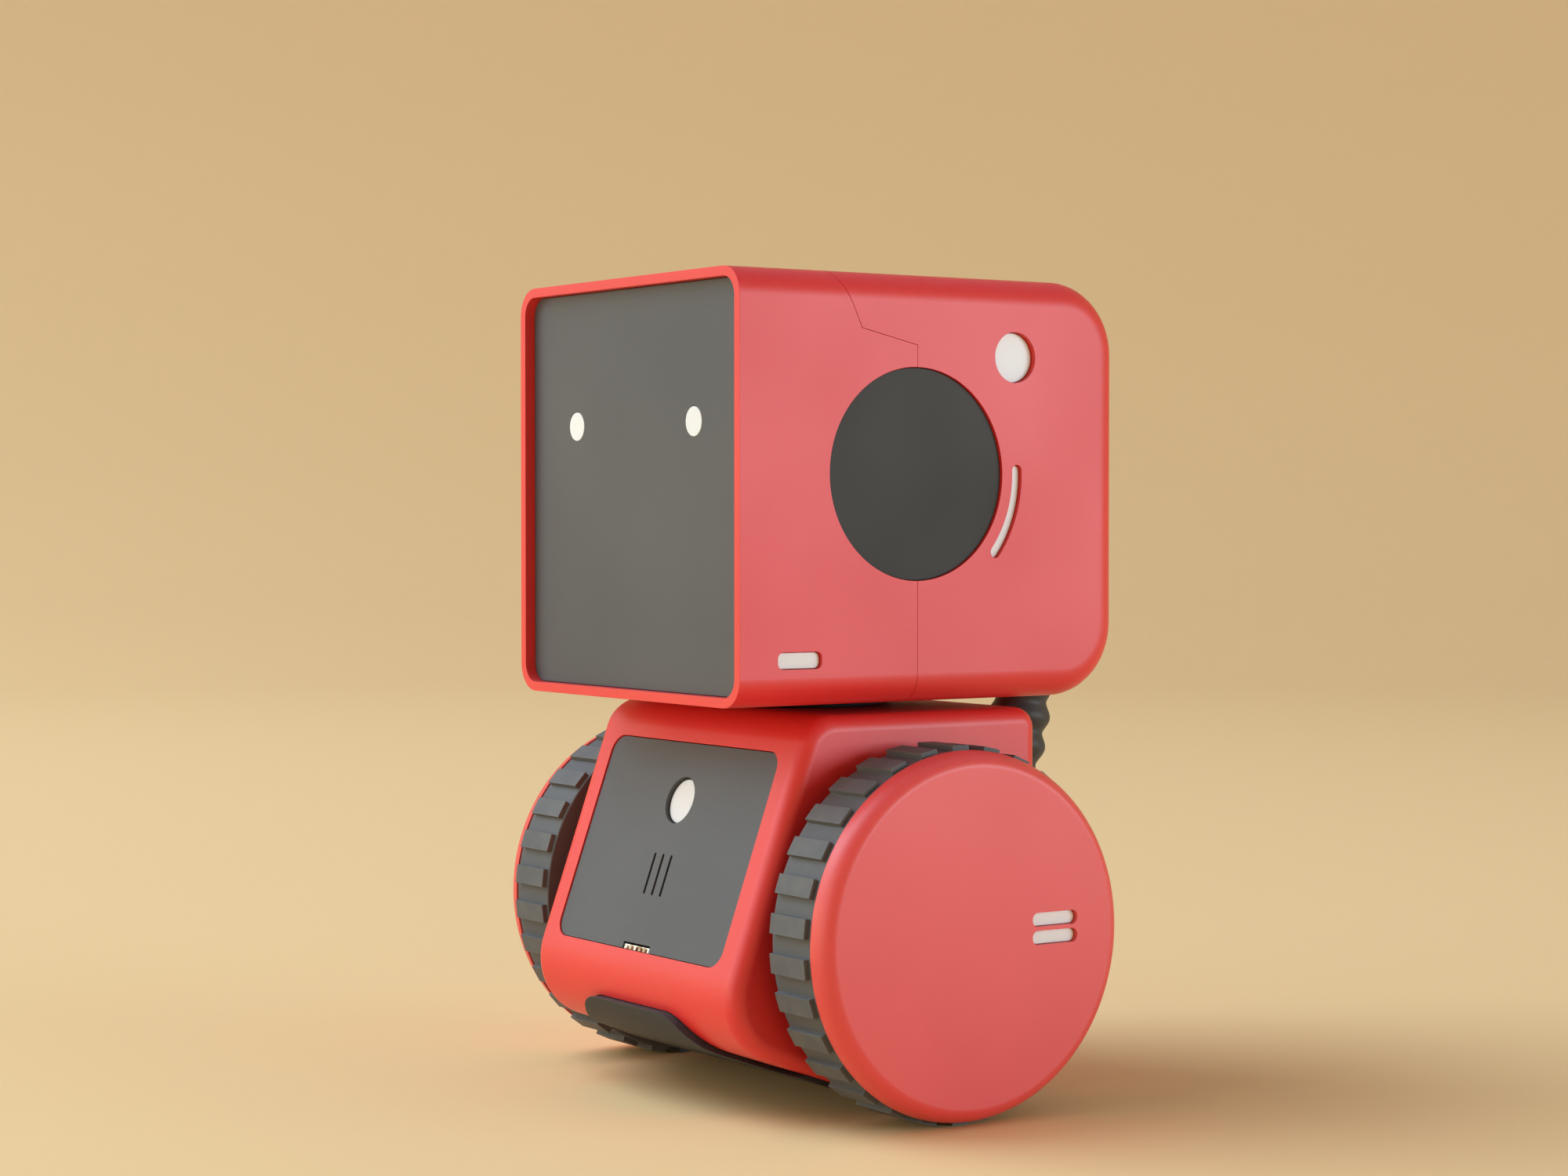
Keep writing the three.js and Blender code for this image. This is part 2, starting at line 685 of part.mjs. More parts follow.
function makeFrame() {
  const top = shelfHeight + frameThickness;
  const motorSpace = frameHalfWidth - frameThickness;
  const floorTop = frameBottom + frameThickness;
  const tongueHalf = frameHalfWidth - 6;
  const frontOfShelf = axleY - motorSize.depth / 2;
  let frame = cut(
    block(-frameHalfWidth, frameHalfWidth, frontOfShelf, frameBack, frameBottom, top),
    block(-motorSpace, motorSpace, frontOfShelf - 1, frameBack + 1, floorTop, shelfHeight),
    roundX(bushRadius + gap, -bodyHalf, bodyHalf, axleY, axleHeight),
  );
  frame = join(
    frame,
    block(-tongueHalf, tongueHalf, frameFront, frontOfShelf + 1, frameBottom, floorTop),
  );
  for (const [x, y] of screwPlaces) {
    frame = cut(frame, roundZ(screwRadius + gap, frameBottom - 1, floorTop + 1, x, y, 4));
  }
  piece("chassis_frame", frame, innerPlastic, body);

  const batteryBase = top + gap;
  const halfDepth = batterySize.depth / 2;
  const cell = block(
    -batterySize.width / 2,
    batterySize.width / 2,
    batteryMiddle - halfDepth,
    batteryMiddle + halfDepth,
    batteryBase,
    batteryBase + batterySize.height,
  );
  piece("battery", cell, batteryBlue, body);
  const boardFront = frameBack + gap;
  const board = rectangle(
    mainBoardSize.width,
    mainBoardSize.height,
    1,
    0,
    mainBoardSize.middleZ,
  );
  const mainBoard = cut(
    prismY(outline(board), boardFront, boardFront + boardThickness),
    block(
      switchX - switchClear.before,
      switchX + switchClear.after,
      boardFront - 1,
      boardFront + boardThickness + 1,
      switchZ - switchClear.below,
      switchZ + switchClear.above,
    ),
  );
  piece("main_board", mainBoard, circuitGreen, body);
}

function makeSkid() {
  const panBottom = bodyBottom - panProud;
  const pegTop = bodyBottom + bodyWall;
  const foot = turned(
    [
      [0, 0],
      [skidRadius - 2, 0],
      [skidRadius - 0.6, 0.6],
      [skidRadius, 2],
      [skidRadius, panBottom - gap],
      [skidPegRadius, panBottom - gap],
      [skidPegRadius, pegTop],
      [0, pegTop],
    ],
    20,
  );
  const skid = new THREE.Group();
  skid.position.set(0, rearSkidY, 0);
  piece("rear_skid", foot, whitePlastic, skid);
  body.add(skid);
}

function makePowerSwitch() {
  const knob = outline(rectangle(switchKnob.width, switchKnob.height, 0.3, switchX, switchZ));
  const inner = bodyRear - bodyWall - gap;
  const slider = outline(
    rectangle(switchKnob.width + 2 * switchTravel + 2, switchKnob.height + 3, 0.3, switchX, switchZ),
  );
  const shape = join(prismY(knob, inner - 0.3, bodyRear - 0.5), prismY(slider, inner - 0.9, inner));
  piece("power_switch", shape, innerPlastic, body);
}

// ---------- wheels ----------

// One wheel about its own axle: +Z points outwards from the body's middle plane.
function makeWheel(name, side) {
  const wheel = new THREE.Group();
  wheel.position.set(0, axleY, axleHeight);
  wheel.rotation.set(0, (side * Math.PI) / 2, 0);

  const lugWidth = 2 * axleHeight * Math.tan((lugShare * Math.PI) / lugCount);
  const lugPlan = outline(
    rectangle(lugWidth, tyreWidth - 2 * lugMargin, 0, 0, tyreInner + tyreWidth / 2),
  );
  const lugMatrix = new THREE.Matrix4();
  let tyre = prism(band(tyreRadius, tyreInnerRadius), tyreInner, tyreOuter, { segments: 30 });
  const lugs = [];
  for (let i = 0; i < lugCount; i++) {
    lugMatrix.makeRotationZ((i * 2 * Math.PI) / lugCount).multiply(alongY);
    lugs.push(prism(lugPlan, tyreRadius - 0.5, axleHeight, { place: lugMatrix }));
  }
  tyre = join(tyre, ...lugs);
  piece("tyre_" + name, tyre, rubber, wheel);

  const cap = [];
  const steps = 4;
  for (let i = 0; i <= steps; i++) {
    const angle = (i * Math.PI) / (2 * steps);
    const radius = coverRadius - coverEdgeRadius * (1 - Math.cos(angle));
    cap.push([radius, coverBack + coverHeight * Math.sin(angle)]);
  }
  const inner = coverRadius - 2;
  let cover = turned(
    [
      [0, coverFace - coverWall],
      [inner - 2.5, coverFace - coverWall],
      [inner, coverBack],
      ...cap,
      [0, coverFace],
    ],
    40,
  );
  [1, -1].forEach((row, i) => {
    const middleY = hubPillRise + (row * hubPillPitch) / 2;
    const pill = (grow) => {
      const width = hubPillHeight + 2 * grow;
      const length = hubPillLength + 2 * grow;
      return outline(rectangle(width, length, width / 2 - 0.05, -side * middleY, side * hubPillBack));
    };
    cover = cut(cover, prism(pill(gap), coverBack - 1, coverFace + 1));
    const inlayTop = coverFace - hubPillRecess;
    piece("hub_pill_" + name + "_" + (i + 1), prism(pill(0), inlayTop - 1.6, inlayTop), whitePlastic, wheel);
  });
  piece("hub_cover_" + name, cover, redPlastic, wheel);

  const rimRadius = tyreInnerRadius - gap;
  const webInner = tyreInner + 5;
  const rimWall = 2;
  const boss = prism(circle(rimBossRadius), tyreInner, tyreOuter - 1.2, { segments: 10 });
  const hoop = prism(band(rimRadius, rimRadius - rimWall), tyreInner, tyreOuter - gap, { segments: 16 });
  const web = prism(circle(rimRadius - 0.5), webInner, webInner + rimWeb, { segments: 16 });
  const bore = prism(circle(axleRadius + gap), tyreInner - 1, tyreOuter, { segments: 8 });
  piece("wheel_rim_" + name, cut(join(hoop, web, boss), bore), innerPlastic, wheel);
  const axle = prism(circle(axleRadius), axleInner, tyreOuter - 2, { segments: 8 });
  piece("axle_" + name, axle, steel, wheel);
  return wheel;
}

function makeDrive() {
  for (const [name, side] of Object.entries(sides)) {
    const tube = band(bushRadius, axleRadius + gap, axleY, axleHeight);
    const bushInner = side * (motorInner + motorSize.length + 2 * gap);
    const bush = prismX(tube, bushInner, side * (bodyHalf + 1), { segments: 6 });
    piece("axle_bush_" + name, bush, brass, body);
    const near = side * motorInner;
    const far = side * (motorInner + motorSize.length);
    const motor = cut(
      prismX(
        outline(rectangle(motorSize.depth, motorSize.height, 2, axleY, axleHeight)),
        near,
        far,
        { segments: 2 },
      ),
      roundX(axleRadius + gap, side * (axleInner - 1), side * bodyHalf, axleY, axleHeight, 8),
    );
    piece("gearmotor_" + name, motor, motorYellow, body);
  }
}

// ---------- conduit ----------
function makeConduit() {
  const dome = new THREE.SphereGeometry(elbowRadius, 16, 10);
  const elbow = join(
    roundZ(elbowRadius, elbowBottom, elbowTop, 0, conduitY, 10),
    roundY(elbowRadius, headBack + gap, conduitY, 0, elbowTop, 10),
    roundY(skidPegRadius, headBack - headWall - 2, headBack + 1, 0, elbowTop, 8),
    solid(dome.rotateX(Math.PI / 2).translate(0, conduitY, elbowTop)),
  );
  piece("conduit_head_elbow", elbow, conduitRubber, head);

  const glandFace = bodyRear + gap;
  const gland = join(
    roundY(glandFlangeRadius, glandFace, glandFace + 1.8, 0, glandHeight, 12),
    roundY(elbowRadius, glandFace + 1, glandFace + glandReach, 0, glandHeight, 12),
    roundY(skidPegRadius, bodyRear - bodyWall - 1.5, glandFace + 1, 0, glandHeight, 8),
  );
  piece("conduit_body_gland", gland, conduitRubber, body);

  const path = new THREE.CatmullRomCurve3([
    new THREE.Vector3(0, conduitY, elbowBottom - gap),
    ...conduitBends.map(([y, z]) => new THREE.Vector3(0, conduitY + y, glandHeight + z)),
    new THREE.Vector3(0, glandFace + glandReach + gap, glandHeight),
  ]);
  const tube = new THREE.ExtrudeGeometry(circle(conduitRadius), {
    steps: 14,
    curveSegments: 5,
    bevelEnabled: false,
    extrudePath: path,
  });
  piece("neck_conduit", solid(tube), conduitRubber, body);
}

// ---------- assembly ----------
makeHeadShells();
makeFace();
makeHeadSides();
makeNeck(body);
makeBody();
makeBelly();
makeFrame();
makeSkid();
makePowerSwitch();
makeDrive();
makeConduit();

const robot = new THREE.Group();
body.add(belly);
robot.add(head, body);
for (const [name, side] of Object.entries(sides)) robot.add(makeWheel(name, side));

// The origin is on the floor under the middle of the whole robot.
robot.updateMatrixWorld(true);
const size = new THREE.Box3().setFromObject(robot);
robot.position.y = -(size.min.y + size.max.y) / 2;

export default robot;
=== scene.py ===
import math

import bmesh
import bpy
from mathutils import Matrix, Vector


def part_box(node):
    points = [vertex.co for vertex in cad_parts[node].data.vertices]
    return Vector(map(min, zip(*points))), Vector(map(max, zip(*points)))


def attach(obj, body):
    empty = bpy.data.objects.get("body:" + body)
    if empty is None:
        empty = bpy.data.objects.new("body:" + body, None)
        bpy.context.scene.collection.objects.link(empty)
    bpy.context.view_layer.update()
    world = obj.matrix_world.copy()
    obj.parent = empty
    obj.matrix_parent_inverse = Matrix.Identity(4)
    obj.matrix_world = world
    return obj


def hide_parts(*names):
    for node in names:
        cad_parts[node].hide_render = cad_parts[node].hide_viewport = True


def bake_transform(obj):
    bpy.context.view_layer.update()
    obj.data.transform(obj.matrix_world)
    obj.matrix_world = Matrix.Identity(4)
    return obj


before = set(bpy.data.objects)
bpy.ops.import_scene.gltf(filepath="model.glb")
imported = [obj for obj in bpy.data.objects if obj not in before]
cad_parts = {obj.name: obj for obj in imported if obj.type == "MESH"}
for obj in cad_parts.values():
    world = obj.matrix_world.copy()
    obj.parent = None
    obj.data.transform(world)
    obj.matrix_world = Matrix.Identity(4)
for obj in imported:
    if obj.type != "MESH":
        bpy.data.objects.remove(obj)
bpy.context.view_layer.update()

mm = 0.001  # every measure below is in millimetres and becomes metres here
touching = 0.01  # points nearer than this are one point
mergeGap = 0.002  # doubles within this are merged
leastRadius = 0.2  # an inset corner keeps at least this much rounding
overcut = 1  # how far a cutter runs past what it cuts
print("frame loaded:", len(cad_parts), "nodes")


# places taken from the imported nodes

def cornersOf(node):
    low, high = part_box(node)
    return Vector(low) / mm, Vector(high) / mm


def middleOf(node):
    low, high = cornersOf(node)
    return (low + high) / 2


def spanOf(node):
    low, high = cornersOf(node)
    return high - low


headLow = cornersOf("head_front_shell")[0]
headHigh = cornersOf("head_rear_shell")[1]
headMid = (headLow.y + headHigh.y) / 2
axle = middleOf("tyre_left")
neckPlace = Vector((0, axle.y, 0))


# selecting and moving, as by hand

def clearPick():
    if bpy.context.object and bpy.context.object.mode != "OBJECT":
        bpy.ops.object.mode_set(mode="OBJECT")
    bpy.ops.object.select_all(action="DESELECT")


def pick(*objects):
    clearPick()
    for obj in objects:
        obj.select_set(True)
    bpy.context.view_layer.objects.active = objects[0]


def settle(obj):
    pick(obj)
    bpy.ops.object.transform_apply(location=True, rotation=True, scale=True)
    return obj


def editEdges(obj, test):
    pick(obj)
    bpy.ops.object.mode_set(mode="EDIT")
    bpy.ops.mesh.select_mode(type="EDGE")
    bpy.ops.mesh.select_all(action="DESELECT")
    mesh = bmesh.from_edit_mesh(obj.data)
    for edge in mesh.edges:
        edge.select_set(bool(test(edge.verts[0].co / mm, edge.verts[1].co / mm)))
    bmesh.update_edit_mesh(obj.data)


def editFaces(obj, test):
    pick(obj)
    bpy.ops.object.mode_set(mode="EDIT")
    bpy.ops.mesh.select_mode(type="FACE")
    bpy.ops.mesh.select_all(action="DESELECT")
    mesh = bmesh.from_edit_mesh(obj.data)
    for face in mesh.faces:
        face.select_set(bool(test(face.normal, face.calc_center_median() / mm)))
    bmesh.update_edit_mesh(obj.data)


def editAll(obj):
    pick(obj)
    bpy.ops.object.mode_set(mode="EDIT")
    bpy.ops.mesh.select_all(action="SELECT")


def leaveEdit():
    bpy.ops.object.mode_set(mode="OBJECT")


def extrude(x, y, z):
    bpy.ops.mesh.extrude_region_move(TRANSFORM_OT_translate={"value": (x * mm, y * mm, z * mm)})


def bevelPicked(offset, steps):
    bpy.ops.mesh.bevel(offset_type="OFFSET", offset=offset * mm, segments=steps, affect="EDGES",
                       clamp_overlap=False)
    leaveEdit()


def near(a, b):
    return abs(a - b) < touching


# starting shapes

def addBlock(name, low, high):
    clearPick()
    bpy.ops.mesh.primitive_cube_add(size=1, location=(Vector(low) + Vector(high)) / 2 * mm)
    obj = bpy.context.object
    obj.name = name
    obj.scale = (Vector(high) - Vector(low)) * mm
    return settle(obj)


def addRound(name, axis, middle, radius, low, high, sides=96):
    place = Vector(middle)
    place["xyz".index(axis)] = (low + high) / 2
    turn = {"x": (0, math.pi / 2, 0), "y": (math.pi / 2, 0, 0), "z": (0, 0, 0)}[axis]
    clearPick()
    bpy.ops.mesh.primitive_cylinder_add(vertices=sides, radius=radius * mm, depth=abs(high - low) * mm,
                                        location=place * mm, rotation=turn)
    obj = bpy.context.object
    obj.name = name
    return settle(obj)


def lift(axis, u, v, along):
    return Vector({"x": (along, u, v), "y": (u, along, v), "z": (u, v, along)}[axis]) * mm


def addPrism(name, axis, corners, low, high, steps=8):
    # an outline of (u, v, radius) corners, pushed along an axis, its corners then rounded
    clearPick()
    bpy.ops.mesh.primitive_circle_add(vertices=len(corners), radius=1, fill_type="NGON")
    obj = bpy.context.object
    obj.name = name
    for vertex, corner in zip(obj.data.vertices, corners):
        vertex.co = lift(axis, corner[0], corner[1], low)
    editAll(obj)
    push = lift(axis, 0, 0, high - low)
    bpy.ops.mesh.extrude_region_move(TRANSFORM_OT_translate={"value": push})
    bpy.ops.mesh.select_all(action="SELECT")
    bpy.ops.mesh.normals_make_consistent(inside=False)
    leaveEdit()
    for i, (u, v, radius) in enumerate(corners):
        if not radius:
            continue
        before = Vector(corners[i - 1][:2]) - Vector((u, v))
        after = Vector(corners[(i + 1) % len(corners)][:2]) - Vector((u, v))
        reach = radius / math.tan(before.angle(after) / 2)
        spot = lift(axis, u, v, 0) / mm

        def onCorner(a, b):
            flat = (a - b).normalized()
            along = abs(flat["xyz".index(axis)]) > 0.999
            offA = a - spot
            offA["xyz".index(axis)] = 0
            return along and offA.length < touching

        editEdges(obj, onCorner)
        bevelPicked(reach, steps)
    return obj


def rectangle(width, height, radius=0, u=0, v=0):
    return [(u - width / 2, v - height / 2, radius), (u + width / 2, v - height / 2, radius),
            (u + width / 2, v + height / 2, radius), (u - width / 2, v + height / 2, radius)]


def insetCorners(corners, distance):
    # the same outline moved inwards, given anticlockwise
    count = len(corners)
    edges = []
    for i in range(count):
        u, v = corners[i][:2]
        nextU, nextV = corners[(i + 1) % count][:2]
        along = Vector((nextU - u, nextV - v)).normalized()
        edges.append((along, Vector((u - along.y * distance, v + along.x * distance))))
    moved = []
    for i in range(count):
        beforeAlong, beforePoint = edges[i - 1]
        along, point = edges[i]
        turn = beforeAlong.cross(along)
        share = (point - beforePoint).cross(along) / turn
        spot = beforePoint + beforeAlong * share
        radius = corners[i][2] - math.copysign(distance, turn)
        moved.append((spot.x, spot.y, max(radius, leastRadius) if corners[i][2] else 0))
    return moved


def addSpun(name, axis, centre, profile, steps=96, closed=False):
    # a profile of (radius, along) points turned about an axis through the centre
    clearPick()
    bpy.ops.mesh.primitive_circle_add(vertices=len(profile), radius=1)
    obj = bpy.context.object
    obj.name = name
    index = "xyz".index(axis)
    side = (index + 1) % 3
    for vertex, (radius, along) in zip(obj.data.vertices, profile):
        spot = Vector(centre)
        spot[side] += radius
        spot[index] = along
        vertex.co = spot * mm
    editAll(obj)
    if not closed:
        mesh = bmesh.from_edit_mesh(obj.data)
        mesh.verts.ensure_lookup_table()
        ends = {mesh.verts[0], mesh.verts[len(profile) - 1]}
        bmesh.ops.delete(mesh, geom=[e for e in mesh.edges if set(e.verts) == ends], context="EDGES_FACES")
        bmesh.update_edit_mesh(obj.data)
        bpy.ops.mesh.select_all(action="SELECT")
    direction = [0, 0, 0]
    direction[index] = 1
    bpy.ops.mesh.spin(steps=steps, angle=2 * math.pi, center=Vector(centre) * mm, axis=direction)
    bpy.ops.mesh.select_all(action="SELECT")
    bpy.ops.mesh.remove_doubles(threshold=mergeGap * mm)
    bpy.ops.mesh.normals_make_consistent(inside=False)
    leaveEdit()
    return obj


# joining, cutting and finishing

def useCutter(obj, cutter, operation="DIFFERENCE"):
    pick(obj)
    tool = obj.modifiers.new("shape", "BOOLEAN")
    tool.operation = operation
    tool.solver = "EXACT"
    tool.object = cutter
    bpy.ops.object.modifier_apply(modifier=tool.name)
    bpy.data.objects.remove(cutter)
    return obj


def softenEdges(obj, width, steps=2, angle=38):
    pick(obj)
    tool = obj.modifiers.new("soft", "BEVEL")
    tool.width = width * mm
    tool.segments = steps
    tool.limit_method = "ANGLE"
    tool.angle_limit = math.radians(angle)
    bpy.ops.object.modifier_apply(modifier=tool.name)
    return obj


def copyOf(obj, name):
    twin = obj.copy()
    twin.data = obj.data.copy()
    twin.name = name
    bpy.context.scene.collection.objects.link(twin)
    return twin


def mirrored(obj, name):
    twin = copyOf(obj, name)
    pick(twin)
    twin.scale = (-1, 1, 1)
    settle(twin)
    editAll(twin)
    bpy.ops.mesh.normals_make_consistent(inside=False)
    leaveEdit()
    return twin


def turnedRound(obj, name):
    # half a turn about the upright line between the wheels
    twin = copyOf(obj, name)
    pick(twin)
    twin.rotation_euler = (0, 0, math.pi)
    twin.location = (0, 2 * axle.y * mm, 0)
    return settle(twin)


def turnAboutAxle(obj, index, count):
    turn = Matrix.Rotation(2 * math.pi * index / count, 4, "X")
    centre = Matrix.Translation(Vector((0, axle.y, axle.z)) * mm)
    obj.matrix_world = centre @ turn @ centre.inverted()
    return settle(obj)


def smooth(obj, angle=32):
    pick(obj)
    bpy.ops.object.shade_smooth_by_angle(angle=math.radians(angle))
    tool = obj.modifiers.new("even", "WEIGHTED_NORMAL")
    tool.keep_sharp = True
    bpy.ops.object.modifier_apply(modifier=tool.name)


def handOver(obj, body, look, slotName, *nodes):
    obj.data.materials.clear()
    obj.data.materials.append(look)
    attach(obj, body)
    if nodes:
        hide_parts(*nodes)


# node building

def tone(red, green, blue):
    # a screen colour, 0 to 255, as the shader's linear colour
    parts = []
    for part in (red, green, blue):
        share = part / 255
        parts.append(share / 12.92 if share <= 0.04045 else ((share + 0.055) / 1.055) ** 2.4)
    return (*parts, 1)


def addNode(tree, kind, settings=None, values=None):
    made = tree.nodes.new(kind)
    for key, value in (settings or {}).items():
        setattr(made, key, value)
    for key, value in (values or {}).items():
        if isinstance(value, bpy.types.NodeSocket):
            tree.links.new(value, made.inputs[key])
        else:
            made.inputs[key].default_value = value
    return made


def newGroup(name, takes, gives):
    group = bpy.data.node_groups.new(name, "ShaderNodeTree")
    for label, value in takes.items():
        socket = group.interface.new_socket(name=label, in_out="INPUT", socket_type="NodeSocketFloat")
        socket.default_value = value
    for label in gives:
        group.interface.new_socket(name=label, in_out="OUTPUT", socket_type="NodeSocketFloat")
    return group, group.nodes.new("NodeGroupInput"), group.nodes.new("NodeGroupOutput")


def placeOn(tree):
    return addNode(tree, "ShaderNodeTexCoord").outputs["Object"]


def mapRange(tree, value, fromLow, fromHigh, toLow, toHigh):
    values = {0: value, 1: fromLow, 2: fromHigh, 3: toLow, 4: toHigh}
    return addNode(tree, "ShaderNodeMapRange", values=values).outputs[0]


def times(tree, a, b):
    return addNode(tree, "ShaderNodeMath", {"operation": "MULTIPLY"}, {0: a, 1: b}).outputs[0]


def makeSkinGroup():
    # moulded plastic skin: a fine sparked grain, slow colour drift and sparse hairline scuffs
    group, given, out = newGroup("mouldedSkin", {"Grain": 2600.0, "Drift": 28.0},
                                 ["Height", "Drift", "Scuff"])
    place = placeOn(group)
    grain = addNode(group, "ShaderNodeTexNoise", values={"Vector": place, "Scale": given.outputs["Grain"],
                                                         "Detail": 3.0, "Roughness": 0.6})
    drift = addNode(group, "ShaderNodeTexNoise",
                    values={"Vector": place, "Scale": given.outputs["Drift"], "Detail": 2.0})
    stretched = addNode(group, "ShaderNodeMapping", values={"Vector": place, "Rotation": (0.4, 0.7, 0.3),
                                                            "Scale": (1.0, 14.0, 1.6)})
    scuff = addNode(group, "ShaderNodeTexNoise", values={"Vector": stretched.outputs[0], "Scale": 150.0,
                                                         "Detail": 4.0, "Roughness": 0.7})
    where = addNode(group, "ShaderNodeTexNoise", values={"Vector": place, "Scale": 45.0, "Detail": 1.0})
    lines = mapRange(group, scuff.outputs["Fac"], 0.66, 0.74, 0.0, 1.0)
    patches = mapRange(group, where.outputs["Fac"], 0.52, 0.66, 0.0, 1.0)
    group.links.new(grain.outputs["Fac"], out.inputs["Height"])
    group.links.new(mapRange(group, drift.outputs["Fac"], 0.3, 0.7, 0.0, 1.0), out.inputs["Drift"])
    group.links.new(times(group, lines, patches), out.inputs["Scuff"])
    return group


def makeRubGroup():
    # where an edge turns sharply, broken up so that the wear isn't even
    group, given, out = newGroup("rubbedEdge", {"Reach": 0.3 * mm}, ["Mask"])
    place = placeOn(group)
    rounded = addNode(group, "ShaderNodeBevel", {"samples": 4}, {"Radius": given.outputs["Reach"]})
    surface = addNode(group, "ShaderNodeNewGeometry")
    dot = addNode(group, "ShaderNodeVectorMath", {"operation": "DOT_PRODUCT"},
                  {0: rounded.outputs[0], 1: surface.outputs["Normal"]})
    edge = mapRange(group, dot.outputs["Value"], 0.985, 0.8, 0.0, 1.0)
    broken = addNode(group, "ShaderNodeTexNoise", values={"Vector": place, "Scale": 420.0, "Detail": 3.0})
    group.links.new(times(group, edge, mapRange(group, broken.outputs["Fac"], 0.35, 0.65, 0.25, 1.0)),
                    out.inputs["Mask"])
    return group


def makeDustGroup():
    # a faint film that settles on what faces up
    group, given, out = newGroup("settledDust", {"Amount": 0.1}, ["Mask"])
    place = placeOn(group)
    surface = addNode(group, "ShaderNodeNewGeometry")
    parts = addNode(group, "ShaderNodeSeparateXYZ", values={0: surface.outputs["Normal"]})
    upward = mapRange(group, parts.outputs["Z"], 0.1, 1.0, 0.0, 1.0)
    specks = addNode(group, "ShaderNodeTexNoise", values={"Vector": place, "Scale": 700.0, "Detail": 4.0,
                                                          "Roughness": 0.75})
    film = times(group, upward, mapRange(group, specks.outputs["Fac"], 0.45, 0.75, 0.15, 1.0))
    group.links.new(times(group, film, given.outputs["Amount"]), out.inputs["Mask"])
    return group


skinGroup = makeSkinGroup()
rubGroup = makeRubGroup()
dustGroup = makeDustGroup()


def useGroup(tree, group, values):
    return addNode(tree, "ShaderNodeGroup", {"node_tree": group}, values)


def blendTones(tree, share, first, second):
    made = addNode(tree, "ShaderNodeMix", {"data_type": "RGBA"}, {0: share, 6: first, 7: second})
    return made.outputs[2]


def makeFinish(name, look, extra=None):
    # base drifts to deep, scuffs and rubbed edges go to worn, dust lies on top
    material = bpy.data.materials.new(name)
    material.use_nodes = True
    tree = material.node_tree
    shader = tree.nodes["Principled BSDF"]
    shader.inputs["Metallic"].default_value = look.get("metal", 0.0)
    shader.inputs["IOR"].default_value = 1.5
    shader.inputs["Coat Roughness"].default_value = look.get("coatRough", 0.3)
    shader.inputs["Coat Weight"].default_value = look.get("coat", 0.0)
    skin = useGroup(tree, skinGroup, {"Grain": look["grain"], "Drift": 28.0})
    rub = useGroup(tree, rubGroup, {"Reach": 0.3 * mm})
    dust = useGroup(tree, dustGroup, {"Amount": look.get("dust", 0.08)})
    colour = blendTones(tree, skin.outputs["Drift"], look["base"], look["deep"])
    height = skin.outputs["Height"]
    roughness = mapRange(tree, skin.outputs["Drift"], 0.0, 1.0, *look["rough"])
    if extra:
        colour, height, roughness = extra(tree, colour, height, roughness)
    for mask, amount in ((skin.outputs["Scuff"], look.get("scuff", 0.15)),
                         (rub.outputs["Mask"], look.get("rub", 0.35))):
        colour = blendTones(tree, times(tree, mask, amount), colour, look["worn"])
    colour = blendTones(tree, dust.outputs["Mask"], colour, tone(214, 206, 196))
    tree.links.new(colour, shader.inputs["Base Color"])
    scuffed = times(tree, skin.outputs["Scuff"], 0.12)
    rougher = addNode(tree, "ShaderNodeMath", {"operation": "ADD", "use_clamp": True},
                      {0: roughness, 1: scuffed})
    tree.links.new(rougher.outputs[0], shader.inputs["Roughness"])
    bump = addNode(tree, "ShaderNodeBump", values={"Strength": look.get("bump", 0.3),
                                                   "Distance": look["depth"] * mm, "Height": height})
    tree.links.new(bump.outputs[0], shader.inputs["Normal"])
    return material


def boardPattern(tree, colour, height, roughness):
    # solder pads and copper lines on a circuit board
    place = placeOn(tree)
    pads = addNode(tree, "ShaderNodeTexVoronoi", {"distance": "CHEBYCHEV"}, {"Vector": place, "Scale": 420.0})
    lines = addNode(tree, "ShaderNodeTexBrick", {"offset": 0.5},
                    {"Vector": place, "Scale": 260.0, "Color1": (0, 0, 0, 1), "Color2": (0, 0, 0, 1),
                     "Mortar": (1, 1, 1, 1), "Mortar Size": 0.03})
    padMask = mapRange(tree, pads.outputs["Distance"], 0.14, 0.18, 1.0, 0.0)
    colour = blendTones(tree, times(tree, lines.outputs["Fac"], 0.5), colour, tone(58, 150, 96))
    colour = blendTones(tree, padMask, colour, tone(206, 190, 140))
    return colour, padMask, roughness


def portFlecks(tree, colour, height, roughness):
    # small pale contacts and brown flux marks
    place = placeOn(tree)
    cells = addNode(tree, "ShaderNodeTexVoronoi", values={"Vector": place, "Scale": 900.0})
    parts = addNode(tree, "ShaderNodeSeparateColor", values={0: cells.outputs["Color"]})
    brown = mapRange(tree, parts.outputs[0], 0.62, 0.7, 0.0, 0.75)
    pale = mapRange(tree, parts.outputs[1], 0.7, 0.78, 0.0, 0.9)
    colour = blendTones(tree, brown, colour, tone(150, 106, 66))
    colour = blendTones(tree, pale, colour, tone(250, 248, 240))
    return colour, height, roughness


